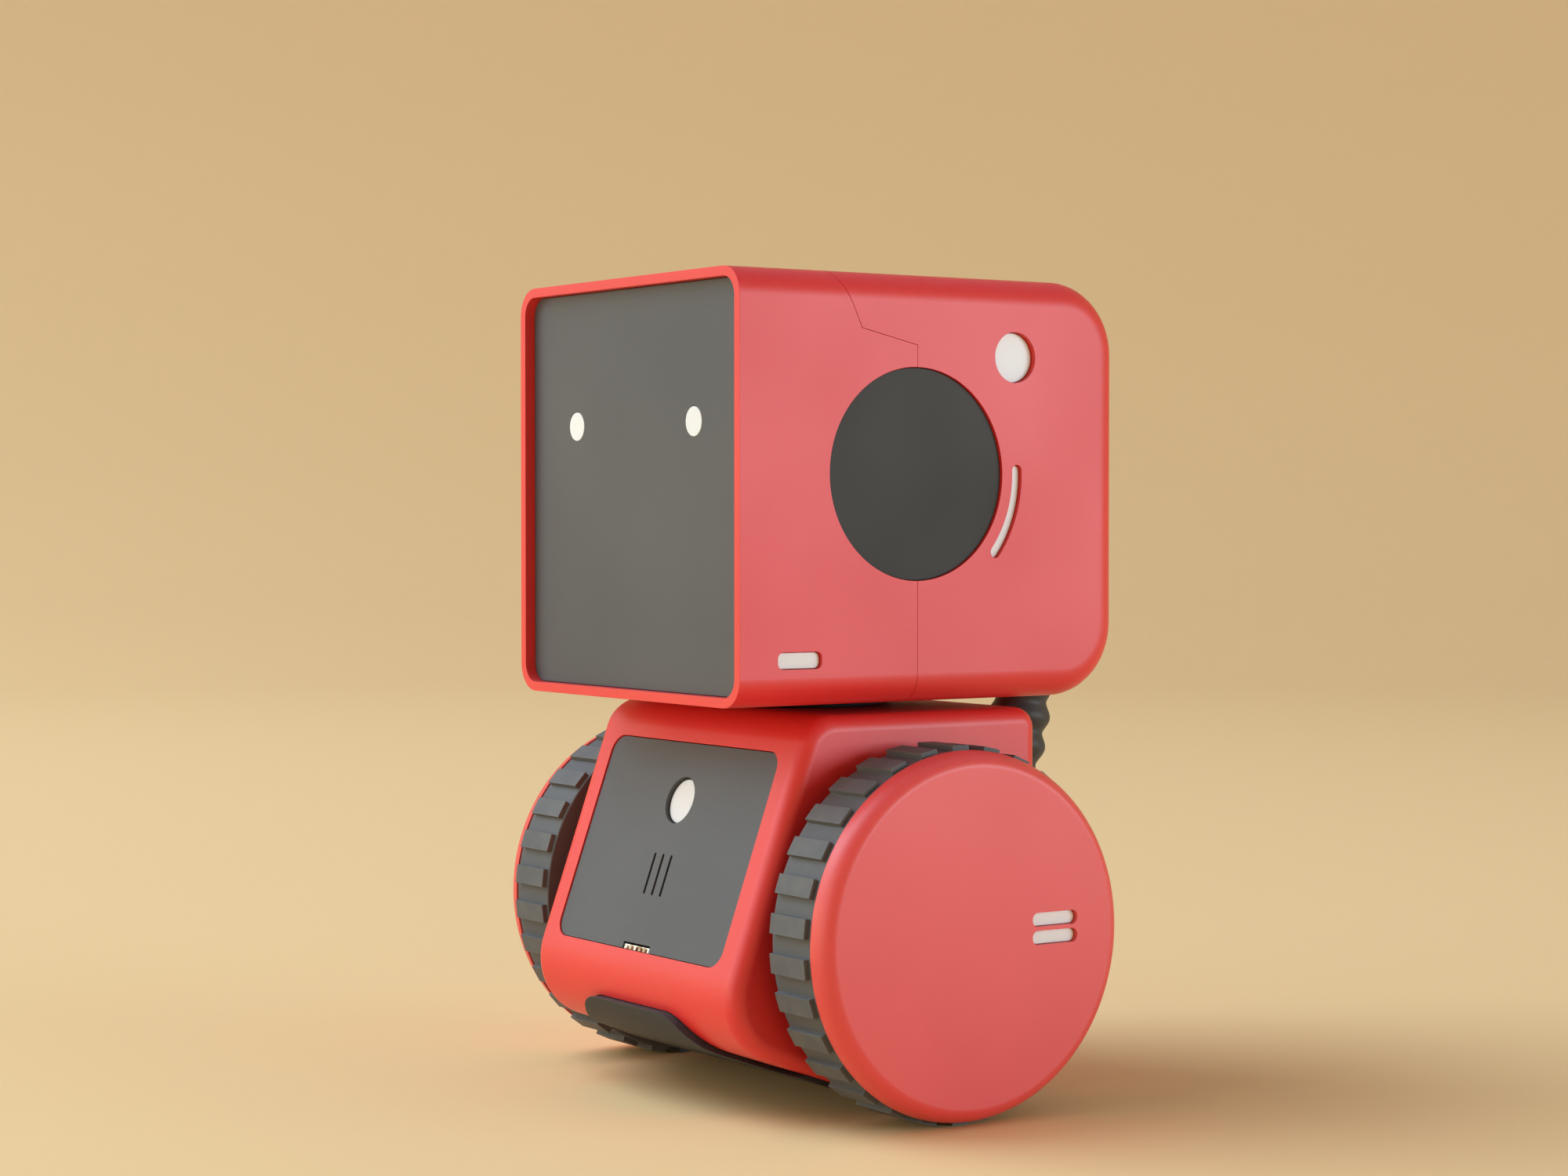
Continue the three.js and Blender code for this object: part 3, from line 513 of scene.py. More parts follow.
def treadMarks(tree, colour, height, roughness):
    # the tops of the lugs grey a little, in patches
    place = placeOn(tree)
    fromAxle = addNode(tree, "ShaderNodeVectorMath", {"operation": "SUBTRACT"},
                       {0: place, 1: (0, axle.y * mm, axle.z * mm)})
    parts = addNode(tree, "ShaderNodeSeparateXYZ", values={0: fromAxle.outputs[0]})
    around = addNode(tree, "ShaderNodeCombineXYZ", values={"Y": parts.outputs["Y"], "Z": parts.outputs["Z"]})
    reach = addNode(tree, "ShaderNodeVectorMath", {"operation": "LENGTH"}, {0: around.outputs[0]})
    onTop = mapRange(tree, reach.outputs["Value"], 28.1 * mm, 28.6 * mm, 0.0, 1.0)
    patches = addNode(tree, "ShaderNodeTexNoise", values={"Vector": place, "Scale": 260.0, "Detail": 5.0})
    share = times(tree, onTop, mapRange(tree, patches.outputs["Fac"], 0.4, 0.7, 0.0, 0.3))
    return blendTones(tree, share, colour, tone(116, 114, 110)), height, roughness


def turnedLines(tree, colour, height, roughness):
    # fine drawn lines along a metal rod
    place = placeOn(tree)
    rings = addNode(tree, "ShaderNodeTexWave", {"bands_direction": "X"},
                    {"Vector": place, "Scale": 900.0, "Distortion": 2.0, "Detail": 2.0})
    return colour, rings.outputs["Fac"], roughness


finishes = {
    "red": makeFinish("satinRed", {
        "base": tone(231, 44, 42), "deep": tone(224, 39, 39), "worn": tone(234, 33, 29), "rough": (0.42, 0.5),
        "grain": 2600.0, "depth": 0.012, "bump": 0.25, "rub": 0.3, "scuff": 0.1, "dust": 0.05,
        "coat": 0.5, "coatRough": 0.44}),
    # the hub cover is the shell's red plastic with a painted pink sheen: its base and deep tones are paler
    # than satinRed's, and its rubbed edges go back to the plain red
    "cover": makeFinish("coverRedPaintedSheen", {
        "base": tone(232, 72, 69), "deep": tone(225, 65, 63), "worn": tone(234, 38, 34), "rough": (0.42, 0.5),
        "grain": 2600.0, "depth": 0.012, "bump": 0.25, "rub": 0.6, "scuff": 0.05, "dust": 0.04,
        "coat": 0.5, "coatRough": 0.44}),
    "panel": makeFinish("satinGrey", {
        "base": tone(78, 81, 86), "deep": tone(73, 76, 81), "worn": tone(118, 118, 117), "rough": (0.4, 0.48),
        "grain": 3200.0, "depth": 0.012, "bump": 0.3, "rub": 0.35, "scuff": 0.12, "dust": 0.05}),
    "ear": makeFinish("earGrey", {
        "base": tone(54, 54, 53), "deep": tone(49, 49, 48), "worn": tone(90, 90, 88), "rough": (0.58, 0.68),
        "grain": 3600.0, "depth": 0.02, "bump": 0.35, "rub": 0.3, "scuff": 0.1, "dust": 0.04}),
    "pan": makeFinish("panGrey", {
        "base": tone(50, 52, 55), "deep": tone(45, 47, 50), "worn": tone(82, 84, 86), "rough": (0.56, 0.66),
        "grain": 2400.0, "depth": 0.025, "bump": 0.4, "rub": 0.4, "scuff": 0.25, "dust": 0.05}),
    "white": makeFinish("milkyWhite", {
        "base": tone(233, 236, 240), "deep": tone(227, 230, 234), "worn": tone(206, 204, 200),
        "rough": (0.32, 0.4), "grain": 2200.0, "depth": 0.008, "bump": 0.2, "rub": 0.2, "scuff": 0.1,
        "dust": 0.05}),
    "tyre": makeFinish("treadRubber", {
        "base": tone(89, 91, 94), "deep": tone(84, 86, 89), "worn": tone(118, 118, 116), "rough": (0.6, 0.72),
        "grain": 1900.0, "depth": 0.04, "bump": 0.5, "rub": 0.4, "scuff": 0.2, "dust": 0.03}, treadMarks),
    "conduit": makeFinish("conduitRubber", {
        "base": tone(60, 60, 58), "deep": tone(52, 52, 51), "worn": tone(92, 92, 90), "rough": (0.5, 0.6),
        "grain": 2200.0, "depth": 0.03, "bump": 0.4, "rub": 0.3, "scuff": 0.1, "dust": 0.02}),
    "black": makeFinish("innerBlack", {
        "base": tone(15, 15, 16), "deep": tone(10, 10, 11), "worn": tone(52, 52, 52), "rough": (0.68, 0.8),
        "grain": 1800.0, "depth": 0.03, "bump": 0.4, "rub": 0.3, "scuff": 0.15, "dust": 0.06}),
    "port": makeFinish("portCream", {
        "base": tone(204, 184, 150), "deep": tone(186, 162, 124), "worn": tone(248, 244, 232),
        "rough": (0.34, 0.46), "grain": 1800.0, "depth": 0.02, "bump": 0.3}, portFlecks),
    "skid": makeFinish("slipWhite", {
        "base": tone(226, 226, 222), "deep": tone(214, 213, 207), "worn": tone(172, 168, 160),
        "rough": (0.3, 0.42), "grain": 1600.0, "depth": 0.02, "bump": 0.3, "rub": 0.4, "scuff": 0.4}),
    "board": makeFinish("circuitGreen", {
        "base": tone(30, 104, 66), "deep": tone(24, 88, 56), "worn": tone(120, 150, 110),
        "rough": (0.35, 0.5), "grain": 1500.0, "depth": 0.03, "bump": 0.4}, boardPattern),
    "motor": makeFinish("gearboxYellow", {
        "base": tone(222, 176, 58), "deep": tone(208, 160, 48), "worn": tone(238, 210, 130),
        "rough": (0.42, 0.55), "grain": 1500.0, "depth": 0.03, "bump": 0.4}),
    "battery": makeFinish("shrinkBlue", {
        "base": tone(52, 92, 158), "deep": tone(44, 80, 140), "worn": tone(120, 148, 190),
        "rough": (0.25, 0.4), "grain": 600.0, "depth": 0.05, "bump": 0.4}),
    "steel": makeFinish("drawnSteel", {
        "base": tone(190, 192, 196), "deep": tone(168, 170, 174), "worn": tone(222, 222, 222), "metal": 1.0,
        "rough": (0.24, 0.36), "grain": 1500.0, "depth": 0.01, "bump": 0.3}, turnedLines),
    "brass": makeFinish("bushBrass", {
        "base": tone(206, 168, 96), "deep": tone(184, 142, 76), "worn": tone(234, 208, 150), "metal": 1.0,
        "rough": (0.28, 0.4), "grain": 1500.0, "depth": 0.01, "bump": 0.3}, turnedLines),
}
print("finishes made:", len(finishes))


# head shells

headShape = {
    "edgeRadius": 4.5, "rearRadius": 11.5, "wall": 2.6, "bezelWall": 1.5, "mouthDepth": 4.0,
    "seamGap": 0.05, "seamSetBack": 0.15, "stepDrop": 11.0, "stepReach": 10.4, "stepRise": 2.3,
    "slantReach": 1.8, "slantRise": 6.1, "topReach": 15.5, "neckHole": 9.3, "neckDepth": 4, "fit": 0.07,
    "soft": 0.07,
}


def addHeadForm(name, shrink, front):
    shape = headShape
    half = headHigh.x - shrink
    low = headLow.z + shrink
    high = headHigh.z - shrink
    back = headHigh.y - shrink
    rear = shape["rearRadius"] - shrink
    obj = addPrism(name, "x", [(front, low, 0), (back, low, rear), (back, high, rear), (front, high, 0)],
                   -half, half, 14)

    def sideOutline(a, b):
        onSide = near(abs(a.x), half) and near(a.x, b.x)
        return onSide and not (near(a.y, front) and near(b.y, front))

    editEdges(obj, sideOutline)
    bevelPicked(shape["edgeRadius"] - shrink, 8)
    return obj


def addSeamRegion(name, offset):
    shape = headShape
    seamY = cornersOf("head_front_shell")[1].y + shape["seamSetBack"] + offset
    stepZ = headHigh.z - shape["stepDrop"] + offset
    front = headLow.y - overcut
    bottom = headLow.z - overcut
    top = headHigh.z + overcut
    tabY = seamY - shape["stepReach"]
    return addPrism(name, "x", [
        (front, bottom, 0), (seamY, bottom, 0), (seamY, stepZ, 0), (tabY, stepZ + shape["stepRise"], 0),
        (tabY - shape["slantReach"], stepZ + shape["slantRise"], 0), (seamY - shape["topReach"], top, 0),
        (front, top, 0)], headLow.x - overcut, headHigh.x + overcut)


def arcCorners(grow):
    # a curved strip with round ends beside the ear, seen along X
    inner = arcShape["inner"] - grow
    outer = arcShape["outer"] + grow
    start = arcShape["from"]
    end = arcShape["to"]
    width = (outer - inner) / 2
    radius = (outer + inner) / 2
    corners = []

    def onCircle(u, v, size, angle):
        return u + size * math.cos(angle), v + size * math.sin(angle)

    def sweep(middle, size, first, last, count):
        for i in range(count + 1):
            corners.append((*onCircle(*middle, size, first + (last - first) * i / count), 0))

    ear = (earMiddle.y, earMiddle.z)
    sweep(ear, outer, start, end, arcShape["steps"])
    sweep(onCircle(*ear, radius, end), width, end, end + math.pi, arcShape["endSteps"])
    sweep(ear, inner, end, start, arcShape["steps"])
    sweep(onCircle(*ear, radius, start), width, start + math.pi, start + 2 * math.pi, arcShape["endSteps"])
    kept = []
    for corner in corners:
        if not kept or math.dist(corner[:2], kept[-1][:2]) > touching:
            kept.append(corner)
    if math.dist(kept[0][:2], kept[-1][:2]) < touching:
        kept.pop()
    return kept


arcShape = {
    "inner": 18.4, "outer": 20.15, "from": math.radians(-38.6), "to": math.radians(2), "steps": 20,
    "endSteps": 8, "proud": 0.35,
}
sideShape = {
    "capInset": 1.2, "capDepth": 0.6, "capSoft": 0.15, "pillRadius": 0.9, "pillSoft": 0.15,
    "buttonFlange": 1.0, "flangeDepth": 0.7, "buttonSoft": 0.18,
}
earMiddle = middleOf("ear_cap_left")
earRadius = spanOf("ear_cap_left").z / 2
pillMiddle = middleOf("pill_light_left")
pillSpan = spanOf("pill_light_left")
buttonMiddle = middleOf("side_button_left")
buttonRadius = spanOf("side_button_left").z / 2 - sideShape["buttonFlange"]


def pillCorners(grow):
    return rectangle(pillSpan.y + 2 * grow, pillSpan.z + 2 * grow, sideShape["pillRadius"] + grow,
                     pillMiddle.y, pillMiddle.z)


def makeHead():
    shape = headShape
    front = headLow.y
    shell = addHeadForm("headShell", 0, front)
    editFaces(shell, lambda normal, spot: normal.y < -0.9 and near(spot.y, front))
    bpy.ops.mesh.inset(thickness=shape["bezelWall"] * mm, depth=0)
    extrude(0, shape["mouthDepth"], 0)
    leaveEdit()
    useCutter(shell, addHeadForm("hollow", shape["wall"], front + shape["mouthDepth"] - 0.1))
    out = headHigh.x + overcut
    fit = shape["fit"]
    useCutter(shell, addRound("hole", "z", neckPlace, shape["neckHole"], headLow.z - overcut,
                              headLow.z + shape["neckDepth"]))
    useCutter(shell, addRound("hole", "x", earMiddle, earRadius + fit, -out, out, 128))
    useCutter(shell, addPrism("hole", "x", arcCorners(fit), -out, out))
    useCutter(shell, addPrism("hole", "x", pillCorners(fit), -out, out, 6))
    useCutter(shell, addRound("hole", "x", buttonMiddle, buttonRadius + fit, -out, out, 72))
    rear = copyOf(shell, "rearShell")
    shell.name = "frontShell"
    useCutter(shell, addSeamRegion("seam", -shape["seamGap"] / 2), "INTERSECT")
    useCutter(rear, addSeamRegion("seam", shape["seamGap"] / 2))
    for obj, node in ((shell, "head_front_shell"), (rear, "head_rear_shell")):
        softenEdges(obj, shape["soft"], 2, 40)
        smooth(obj)
        handOver(obj, "head", finishes["red"], "red_shell", node)


makeHead()
print("head shells made")


# face

faceShape = {
    "grow": 0.22, "corner": 2.7, "panelSoft": 0.12,  # the panel fills its working gap in the bezel
    "eyeFlange": 1.0, "flangeShare": 1.43, "flangeDepth": 0.8, "eyeReach": 0.3, "eyeFit": 0.05,
    "eyeSoft": 0.1,
}


def makeFace():
    shape = faceShape
    low, high = cornersOf("face_panel")
    grow = shape["grow"]
    eye = middleOf("eye_light_left")
    eyeRadius = spanOf("eye_light_left").z / 2 - shape["eyeFlange"]
    outline = rectangle(high.x - low.x + 2 * grow, high.z - low.z + 2 * grow, shape["corner"] + grow,
                        0, (low.z + high.z) / 2)
    panel = addPrism("facePanel", "y", outline, low.y, high.y)
    for side in (1, -1):
        useCutter(panel, addRound("hole", "y", (side * eye.x, 0, eye.z), eyeRadius + shape["eyeFit"],
                                  low.y - overcut, high.y + overcut, 64))
    softenEdges(panel, shape["panelSoft"], 2)
    smooth(panel)
    handOver(panel, "head", finishes["panel"], "grey_panel", "face_panel")
    light = addRound("eyeLightLeft", "y", eye, eyeRadius, low.y, high.y + shape["eyeReach"], 64)
    editFaces(light, lambda normal, spot: normal.y > 0.9)
    extrude(0, 0, 0)
    bpy.ops.transform.resize(value=(shape["flangeShare"], 1, shape["flangeShare"]))
    extrude(0, shape["flangeDepth"], 0)
    leaveEdit()
    softenEdges(light, shape["eyeSoft"], 2)
    other = mirrored(light, "eyeLightRight")
    for obj, name in ((light, "left"), (other, "right")):
        smooth(obj)
        handOver(obj, "head", finishes["white"], "white_insert", "eye_light_" + name)


makeFace()


# side pieces: ear caps, lights and round buttons

def makePair(obj, name, look, slotName, node, bodies=("head", "head"), soft=0.1):
    softenEdges(obj, soft, 2)
    other = mirrored(obj, name + "Right")
    obj.name = name + "Left"
    for piece, sideName, body in ((obj, "left", bodies[0]), (other, "right", bodies[1])):
        smooth(piece)
        handOver(piece, body, look, slotName, node + "_" + sideName)


def makeSides():
    shape = sideShape
    low, high = cornersOf("ear_cap_left")
    cap = addRound("earCap", "x", earMiddle, earRadius, low.x, high.x, 128)
    editFaces(cap, lambda normal, spot: normal.x < -0.9)
    bpy.ops.mesh.inset(thickness=shape["capInset"] * mm, depth=-shape["capDepth"] * mm)
    leaveEdit()
    makePair(cap, "earCap", finishes["ear"], "ear_grey", "ear_cap", soft=shape["capSoft"])
    low, high = cornersOf("arc_light_left")
    strip = addPrism("arcLight", "x", arcCorners(0), low.x, high.x + arcShape["proud"])
    makePair(strip, "arcLight", finishes["white"], "white_insert", "arc_light")
    low, high = cornersOf("pill_light_left")
    pill = addPrism("pillLight", "x", pillCorners(0), low.x, high.x, 6)
    makePair(pill, "pillLight", finishes["white"], "white_insert", "pill_light", soft=shape["pillSoft"])
    low, high = cornersOf("side_button_left")
    depth = shape["flangeDepth"]
    button = addRound("sideButton", "x", buttonMiddle, buttonRadius, low.x + depth, high.x, 72)
    editFaces(button, lambda normal, spot: normal.x < -0.9)
    extrude(0, 0, 0)
    share = (buttonRadius + shape["buttonFlange"]) / buttonRadius
    bpy.ops.transform.resize(value=(1, share, share))
    extrude(-depth, 0, 0)
    leaveEdit()
    makePair(button, "sideButton", finishes["white"], "white_insert", "side_button",
             ("side_button_left", "side_button_right"), shape["buttonSoft"])


makeSides()
print("face and side pieces made")


# body

bodyShape = {
    "wall": 2.2, "edgeRadius": 2.6, "lean": math.radians(19.7), "ramp": math.radians(20), "rampEnd": -13.8,
    "bottom": 4.45, "rear": 22.3, "top": 61.75, "topFront": 6.0, "topRear": 3.3, "rearBottom": 9.0,
    "chin": 10.3, "rampRadius": 20.0, "bellyTopY": -23.35, "bellyTopZ": 55.99, "fit": 0.12, "soft": 0.3,
    "neckFit": 0.3, "bushFit": 0.2, "knobSlot": (5.9, 3.0, 0.5),
}
panShape = {
    "proud": 0.8, "edgeHalf": 27.5, "floorZ": 1, "edgeZ": 6.85, "tongueZ": 15.55, "topHalf": 12.2,
    "baseHalf": 20.7, "topRadius": 6, "baseRadius": 7, "reach": 60, "holeRadius": 2.3, "fit": 0.12,
    "soft": 0.55,
}
bellyShape = {
    "width": 48.8, "length": 34.0, "radius": 2.8, "thickness": 1.8, "recess": 0.25, "buttonRadius": 3.65,
    "buttonDown": 9.3, "buttonRecess": 0.7, "slotLength": 6.8, "slotWidth": 0.6, "slotPitch": 2.4,
    "slotDown": 21.6, "slotRadius": 0.25, "portWidth": 7.6, "portHeight": 2.4, "portFit": 0.15,
    "contactPitch": 1.35, "contactHalf": 0.35, "buttonFit": 0.2, "panelSoft": 0.16, "portSoft": 0.06,
}
bodyHalf = spanOf("body_shell").x / 2
bellyPlace = Matrix.Translation(Vector((0, headMid + bodyShape["bellyTopY"], bodyShape["bellyTopZ"])) * mm)
bellyPlace = bellyPlace @ Matrix.Rotation(math.pi / 2 - bodyShape["lean"], 4, "X")


def bodyCorners():
    shape = bodyShape
    slope = math.tan(shape["lean"])
    ramp = math.tan(shape["ramp"])
    foot = shape["bellyTopY"] - slope * shape["bellyTopZ"]
    chinZ = (shape["bottom"] + ramp * (shape["rampEnd"] - foot)) / (1 + ramp * slope)
    return [
        (headMid + shape["rampEnd"], shape["bottom"], shape["rampRadius"]),
        (headMid + shape["rear"], shape["bottom"], shape["rearBottom"]),
        (headMid + shape["rear"], shape["top"], shape["topRear"]),
        (headMid + foot + slope * shape["top"], shape["top"], shape["topFront"]),
        (headMid + foot + slope * chinZ, chinZ, shape["chin"]),
    ]


def addBodyForm(name, distance, rounded):
    half = bodyHalf - distance
    obj = addPrism(name, "x", insetCorners(bodyCorners(), distance), -half, half, 12)
    if rounded:
        editEdges(obj, lambda a, b: near(abs(a.x), half) and near(a.x, b.x))
        bevelPicked(bodyShape["edgeRadius"], 7)
    return obj


def addPanRegion(name, grow):
    shape = panShape
    edge = shape["edgeHalf"]
    base = shape["baseHalf"]
    top = shape["topHalf"]
    rightHalf = [(edge, shape["floorZ"], 0), (edge, shape["edgeZ"], 0),
                 (base, shape["edgeZ"], shape["baseRadius"]), (top, shape["tongueZ"], shape["topRadius"])]
    leftHalf = [(-x, z, radius) for x, z, radius in rightHalf]
    corners = [leftHalf[0], *rightHalf, *leftHalf[:0:-1]]
    front = addPrism(name, "y", insetCorners(corners, -grow), headMid - shape["reach"], axle.y, 10)
    edge += grow
    rear = addBlock("rearPart", (-edge, axle.y - overcut, shape["floorZ"] - grow),
                    (edge, headMid + shape["reach"], shape["edgeZ"] + grow))
    return useCutter(front, rear, "UNION")


def inBelly(obj):
    # a piece modelled flat on the ground plane, laid into the sloping front
    obj.matrix_world = bellyPlace @ obj.matrix_world
    return settle(obj)


def addBellySlab(name, grow, low, high):
    shape = bellyShape
    slab = addPrism(name, "z", rectangle(shape["width"] + 2 * grow, shape["length"] + 2 * grow,
                                         shape["radius"] + grow, 0, -shape["length"] / 2), low, high)
    return inBelly(slab)


def makeBody():
    shape = bodyShape
    shell = addBodyForm("bodyShell", 0, True)
    useCutter(shell, addBodyForm("hollow", shape["wall"], False))
    useCutter(shell, addBellySlab("opening", shape["fit"], -4, 3))
    useCutter(shell, addPanRegion("opening", panShape["fit"]))
    neckRadius = spanOf("neck_bearing").x / 2 + shape["neckFit"]
    useCutter(shell, addRound("hole", "z", neckPlace, neckRadius, shape["top"] - 4, shape["top"] + 2))
    bushRadius = spanOf("axle_bush_left").z / 2 + shape["bushFit"]
    out = bodyHalf + overcut
    useCutter(shell, addRound("hole", "x", axle, bushRadius, -out, out, 48))
    rear = cornersOf("body_shell")[1].y
    outline = rectangle(*shape["knobSlot"], 0, middleOf("power_switch").z)
    useCutter(shell, addPrism("hole", "y", outline, rear - 4, rear + overcut, 4))
    softenEdges(shell, shape["soft"], 3, 40)
    smooth(shell)
    handOver(shell, "root", finishes["red"], "red_shell", "body_shell")

    pan = addBodyForm("underpan", -panShape["proud"], False)
    useCutter(pan, addBodyForm("hollow", shape["wall"], False))
    useCutter(pan, addPanRegion("region", 0), "INTERSECT")
    for node in ("rear_skid", "pan_screw_1", "pan_screw_2", "pan_screw_3", "pan_screw_4"):
        useCutter(pan, addRound("hole", "z", middleOf(node), panShape["holeRadius"], 0, 15, 32))
    softenEdges(pan, panShape["soft"], 4, 40)
    smooth(pan, 40)
    handOver(pan, "root", finishes["pan"], "pan_grey", "underpan")


makeBody()
print("body and underpan made")


# belly panel with its button, slots and port

def makeBelly():
    shape = bellyShape
    front = -shape["recess"]
    rear = front - shape["thickness"]
    foot = -shape["length"]
    outline = rectangle(shape["width"], shape["length"], shape["radius"], 0, foot / 2)
    panel = addPrism("bellyPanel", "z", outline, rear, front)
    under = rear - overcut
    above = front + overcut
    down = (0, -shape["buttonDown"], 0)
    holeRadius = shape["buttonRadius"] + shape["buttonFit"]
    useCutter(panel, addRound("hole", "z", down, holeRadius, under, above, 72))
    for i in (-1, 0, 1):
        outline = rectangle(shape["slotWidth"], shape["slotLength"], shape["slotRadius"],
                            i * shape["slotPitch"], -shape["slotDown"])
        useCutter(panel, addPrism("slot", "z", outline, under, above, 4))
    notch = shape["portWidth"] / 2 + shape["portFit"]
    useCutter(panel, addBlock("notch", (-notch, foot - overcut, under), (notch, foot + 1.1, 1)))
    softenEdges(panel, shape["panelSoft"], 2)
    inBelly(panel)
    smooth(panel)
    handOver(panel, "root", finishes["panel"], "grey_panel", "belly_panel")

    buttonTop = front - shape["buttonRecess"]
    button = addSpun("chestButton", "z", down, [
        (0, rear - 2.5), (1.2, rear - 2.5), (1.2, rear - 1.2), (4.55, rear - 1.2), (4.55, rear - 0.3),
        (3.65, rear - 0.3), (3.65, buttonTop - 0.25), (3.58, buttonTop - 0.07), (3.4, buttonTop),
        (0, buttonTop)], 72)
    inBelly(button)
    smooth(button)
    handOver(button, "chest_button", finishes["white"], "white_insert", "chest_button")

    lip = foot + 0.8
    half = shape["portWidth"] / 2
    port = addBlock("chargingPort", (-half, foot, rear - 2), (half, lip, front - 0.25))
    socket = addBlock("socket", (-half, lip - shape["portHeight"], rear - 5.5), (half, lip, rear - 0.8))
    useCutter(port, socket, "UNION")
    reach = shape["contactHalf"]
    for i in range(-2, 3):
        middle = i * shape["contactPitch"]
        useCutter(port, addBlock("contact", (middle - reach, foot - overcut, front - 0.7),
                                 (middle + reach, lip - 0.25, above)))
    softenEdges(port, shape["portSoft"], 2)
    inBelly(port)
    smooth(port)
    handOver(port, "root", finishes["port"], "port_insert", "charging_port")


makeBelly()
print("belly pieces made")


# wheels: one set is modelled and the other is the same set turned round

wheelShape = {
    "tyreRadius": 27.9, "innerRadius": 24.0, "shoulder": 0.15, "lugCount": 30, "lugWidth": 3.02,
    "lugMargin": 0.5, "lugRoot": 0.6, "seat": 0.26, "ribCount": 8, "ribHalf": 0.7, "coverRadius": 28.1,
    "coverEdge": 2.5, "coverHeight": 3.5, "coverSteps": 10, "barFit": 0.12, "barSlim": 0.05,
}


def makeTyre():
    shape = wheelShape
    low, high = cornersOf("tyre_left")
    soft = shape["shoulder"]
    outer = shape["tyreRadius"]
    inner = shape["innerRadius"]
    seat = shape["seat"]  # the rubber reaches out to the cover
    ring = addSpun("tyreLeft", "x", axle, [
        (inner, low.x), (inner, high.x + seat), (outer - soft, high.x + seat), (outer, high.x + seat - soft),
        (outer, low.x + soft), (outer - soft, low.x)],
        120, True)
    half = shape["lugWidth"] / 2
    lug = addBlock("lug", (low.x + shape["lugMargin"], axle.y - half, axle.z + outer - shape["lugRoot"]),
                   (high.x - shape["lugMargin"], axle.y + half, high.z))
    lugs = [lug]
    for i in range(1, shape["lugCount"]):
        lugs.append(turnAboutAxle(copyOf(lug, "lug"), i, shape["lugCount"]))
    pick(*lugs)
    bpy.ops.object.join()
    useCutter(ring, lug, "UNION")
    softenEdges(ring, 0.1, 2, 50)
    return ring


def makeRim():
    low, high = cornersOf("wheel_rim_left")
    outer = (high.z - low.z) / 2
    inner = outer - 2
    rim = addSpun("wheelRimLeft", "x", axle, [
        (1.8, low.x), (4.4, low.x), (5, low.x + 0.6), (5.2, low.x + 5), (inner, low.x + 5), (inner, low.x),
        (outer, low.x), (outer, high.x), (inner, high.x), (inner, low.x + 7.4), (5, low.x + 7.4),
        (5, high.x - 0.9), (1.8, high.x - 0.9)], 96, True)
    half = wheelShape["ribHalf"]
    ribs = []
    for i in range(wheelShape["ribCount"]):
        rib = addBlock("rib", (low.x + 1.2, axle.y - half, axle.z + 4.4),
                       (low.x + 5.3, axle.y + half, axle.z + inner + 0.6))
        ribs.append(turnAboutAxle(rib, i, wheelShape["ribCount"]))
    pick(*ribs)
    bpy.ops.object.join()
    useCutter(rim, ribs[0], "UNION")
    return softenEdges(rim, 0.2, 2, 50)


def makeCover():
    shape = wheelShape
    low, high = cornersOf("hub_cover_left")
    radius = shape["coverRadius"]
    edge = []
    for i in range(shape["coverSteps"] + 1):
        angle = math.pi / 2 * i / shape["coverSteps"]
        edge.append((radius - shape["coverEdge"] * (1 - math.cos(angle)),
                     low.x + shape["coverHeight"] * math.sin(angle)))
    cover = addSpun("hubCoverLeft", "x", axle, [
        (0, high.x - 2), (radius - 4.5, high.x - 2), (radius - 2, low.x), *edge, (0, high.x)], 160)
    bars = []
    for i in (1, 2):
        node = "hub_pill_left_" + str(i)
        barLow, barHigh = cornersOf(node)
        middle = (barLow + barHigh) / 2
        size = barHigh - barLow
        fit = shape["barFit"]
        outline = rectangle(size.y + fit, size.z + fit, size.z / 2, middle.y, middle.z)
        useCutter(cover, addPrism("hole", "x", outline, low.x - overcut, high.x + overcut, 6))
        outline = rectangle(size.y, size.z, size.z / 2 - shape["barSlim"], middle.y, middle.z)
        bar = addPrism("hubBarLeft" + str(i), "x", outline, barLow.x, barHigh.x, 6)
        bars.append(softenEdges(bar, 0.12, 2))
    softenEdges(cover, 0.08, 2, 40)
    return cover, bars


def makeWheels():
    tyre = makeTyre()
    rim = makeRim()
    cover, bars = makeCover()
    plan = [
        (tyre, "tyreRight", "tyre", "tyre", "tyre_{}"),
        (rim, "wheelRimRight", "black", "black_plastic", "wheel_rim_{}"),
        (cover, "hubCoverRight", "cover", "red_shell", "hub_cover_{}"),
        (bars[0], "hubBarRight1", "white", "white_insert", "hub_pill_{}_1"),
        (bars[1], "hubBarRight2", "white", "white_insert", "hub_pill_{}_2"),
    ]
    for obj, twinName, look, slotName, node in plan:
        twin = turnedRound(obj, twinName)
        for piece, side in ((obj, "left"), (twin, "right")):
            smooth(piece)
            handOver(piece, "wheel_" + side, finishes[look], slotName, node.format(side))


makeWheels()
print("wheels made")


# conduit from the head's back to the body's rear

conduitShape = {
    "crest": 5.3, "valley": 4.35, "pitch": 4.9, "step": 0.35, "tube": 5.25, "bend": 5.35, "proud": 0.05,
    "route": [
        (42.5, 72.9), (42.5, 66.2), (42.3, 61.2), (41.4, 55.7), (40.1, 50.9), (37.5, 45.6), (34.0, 42.2),
        (31.2, 40.9), (27.4, 40.65),
    ],
}


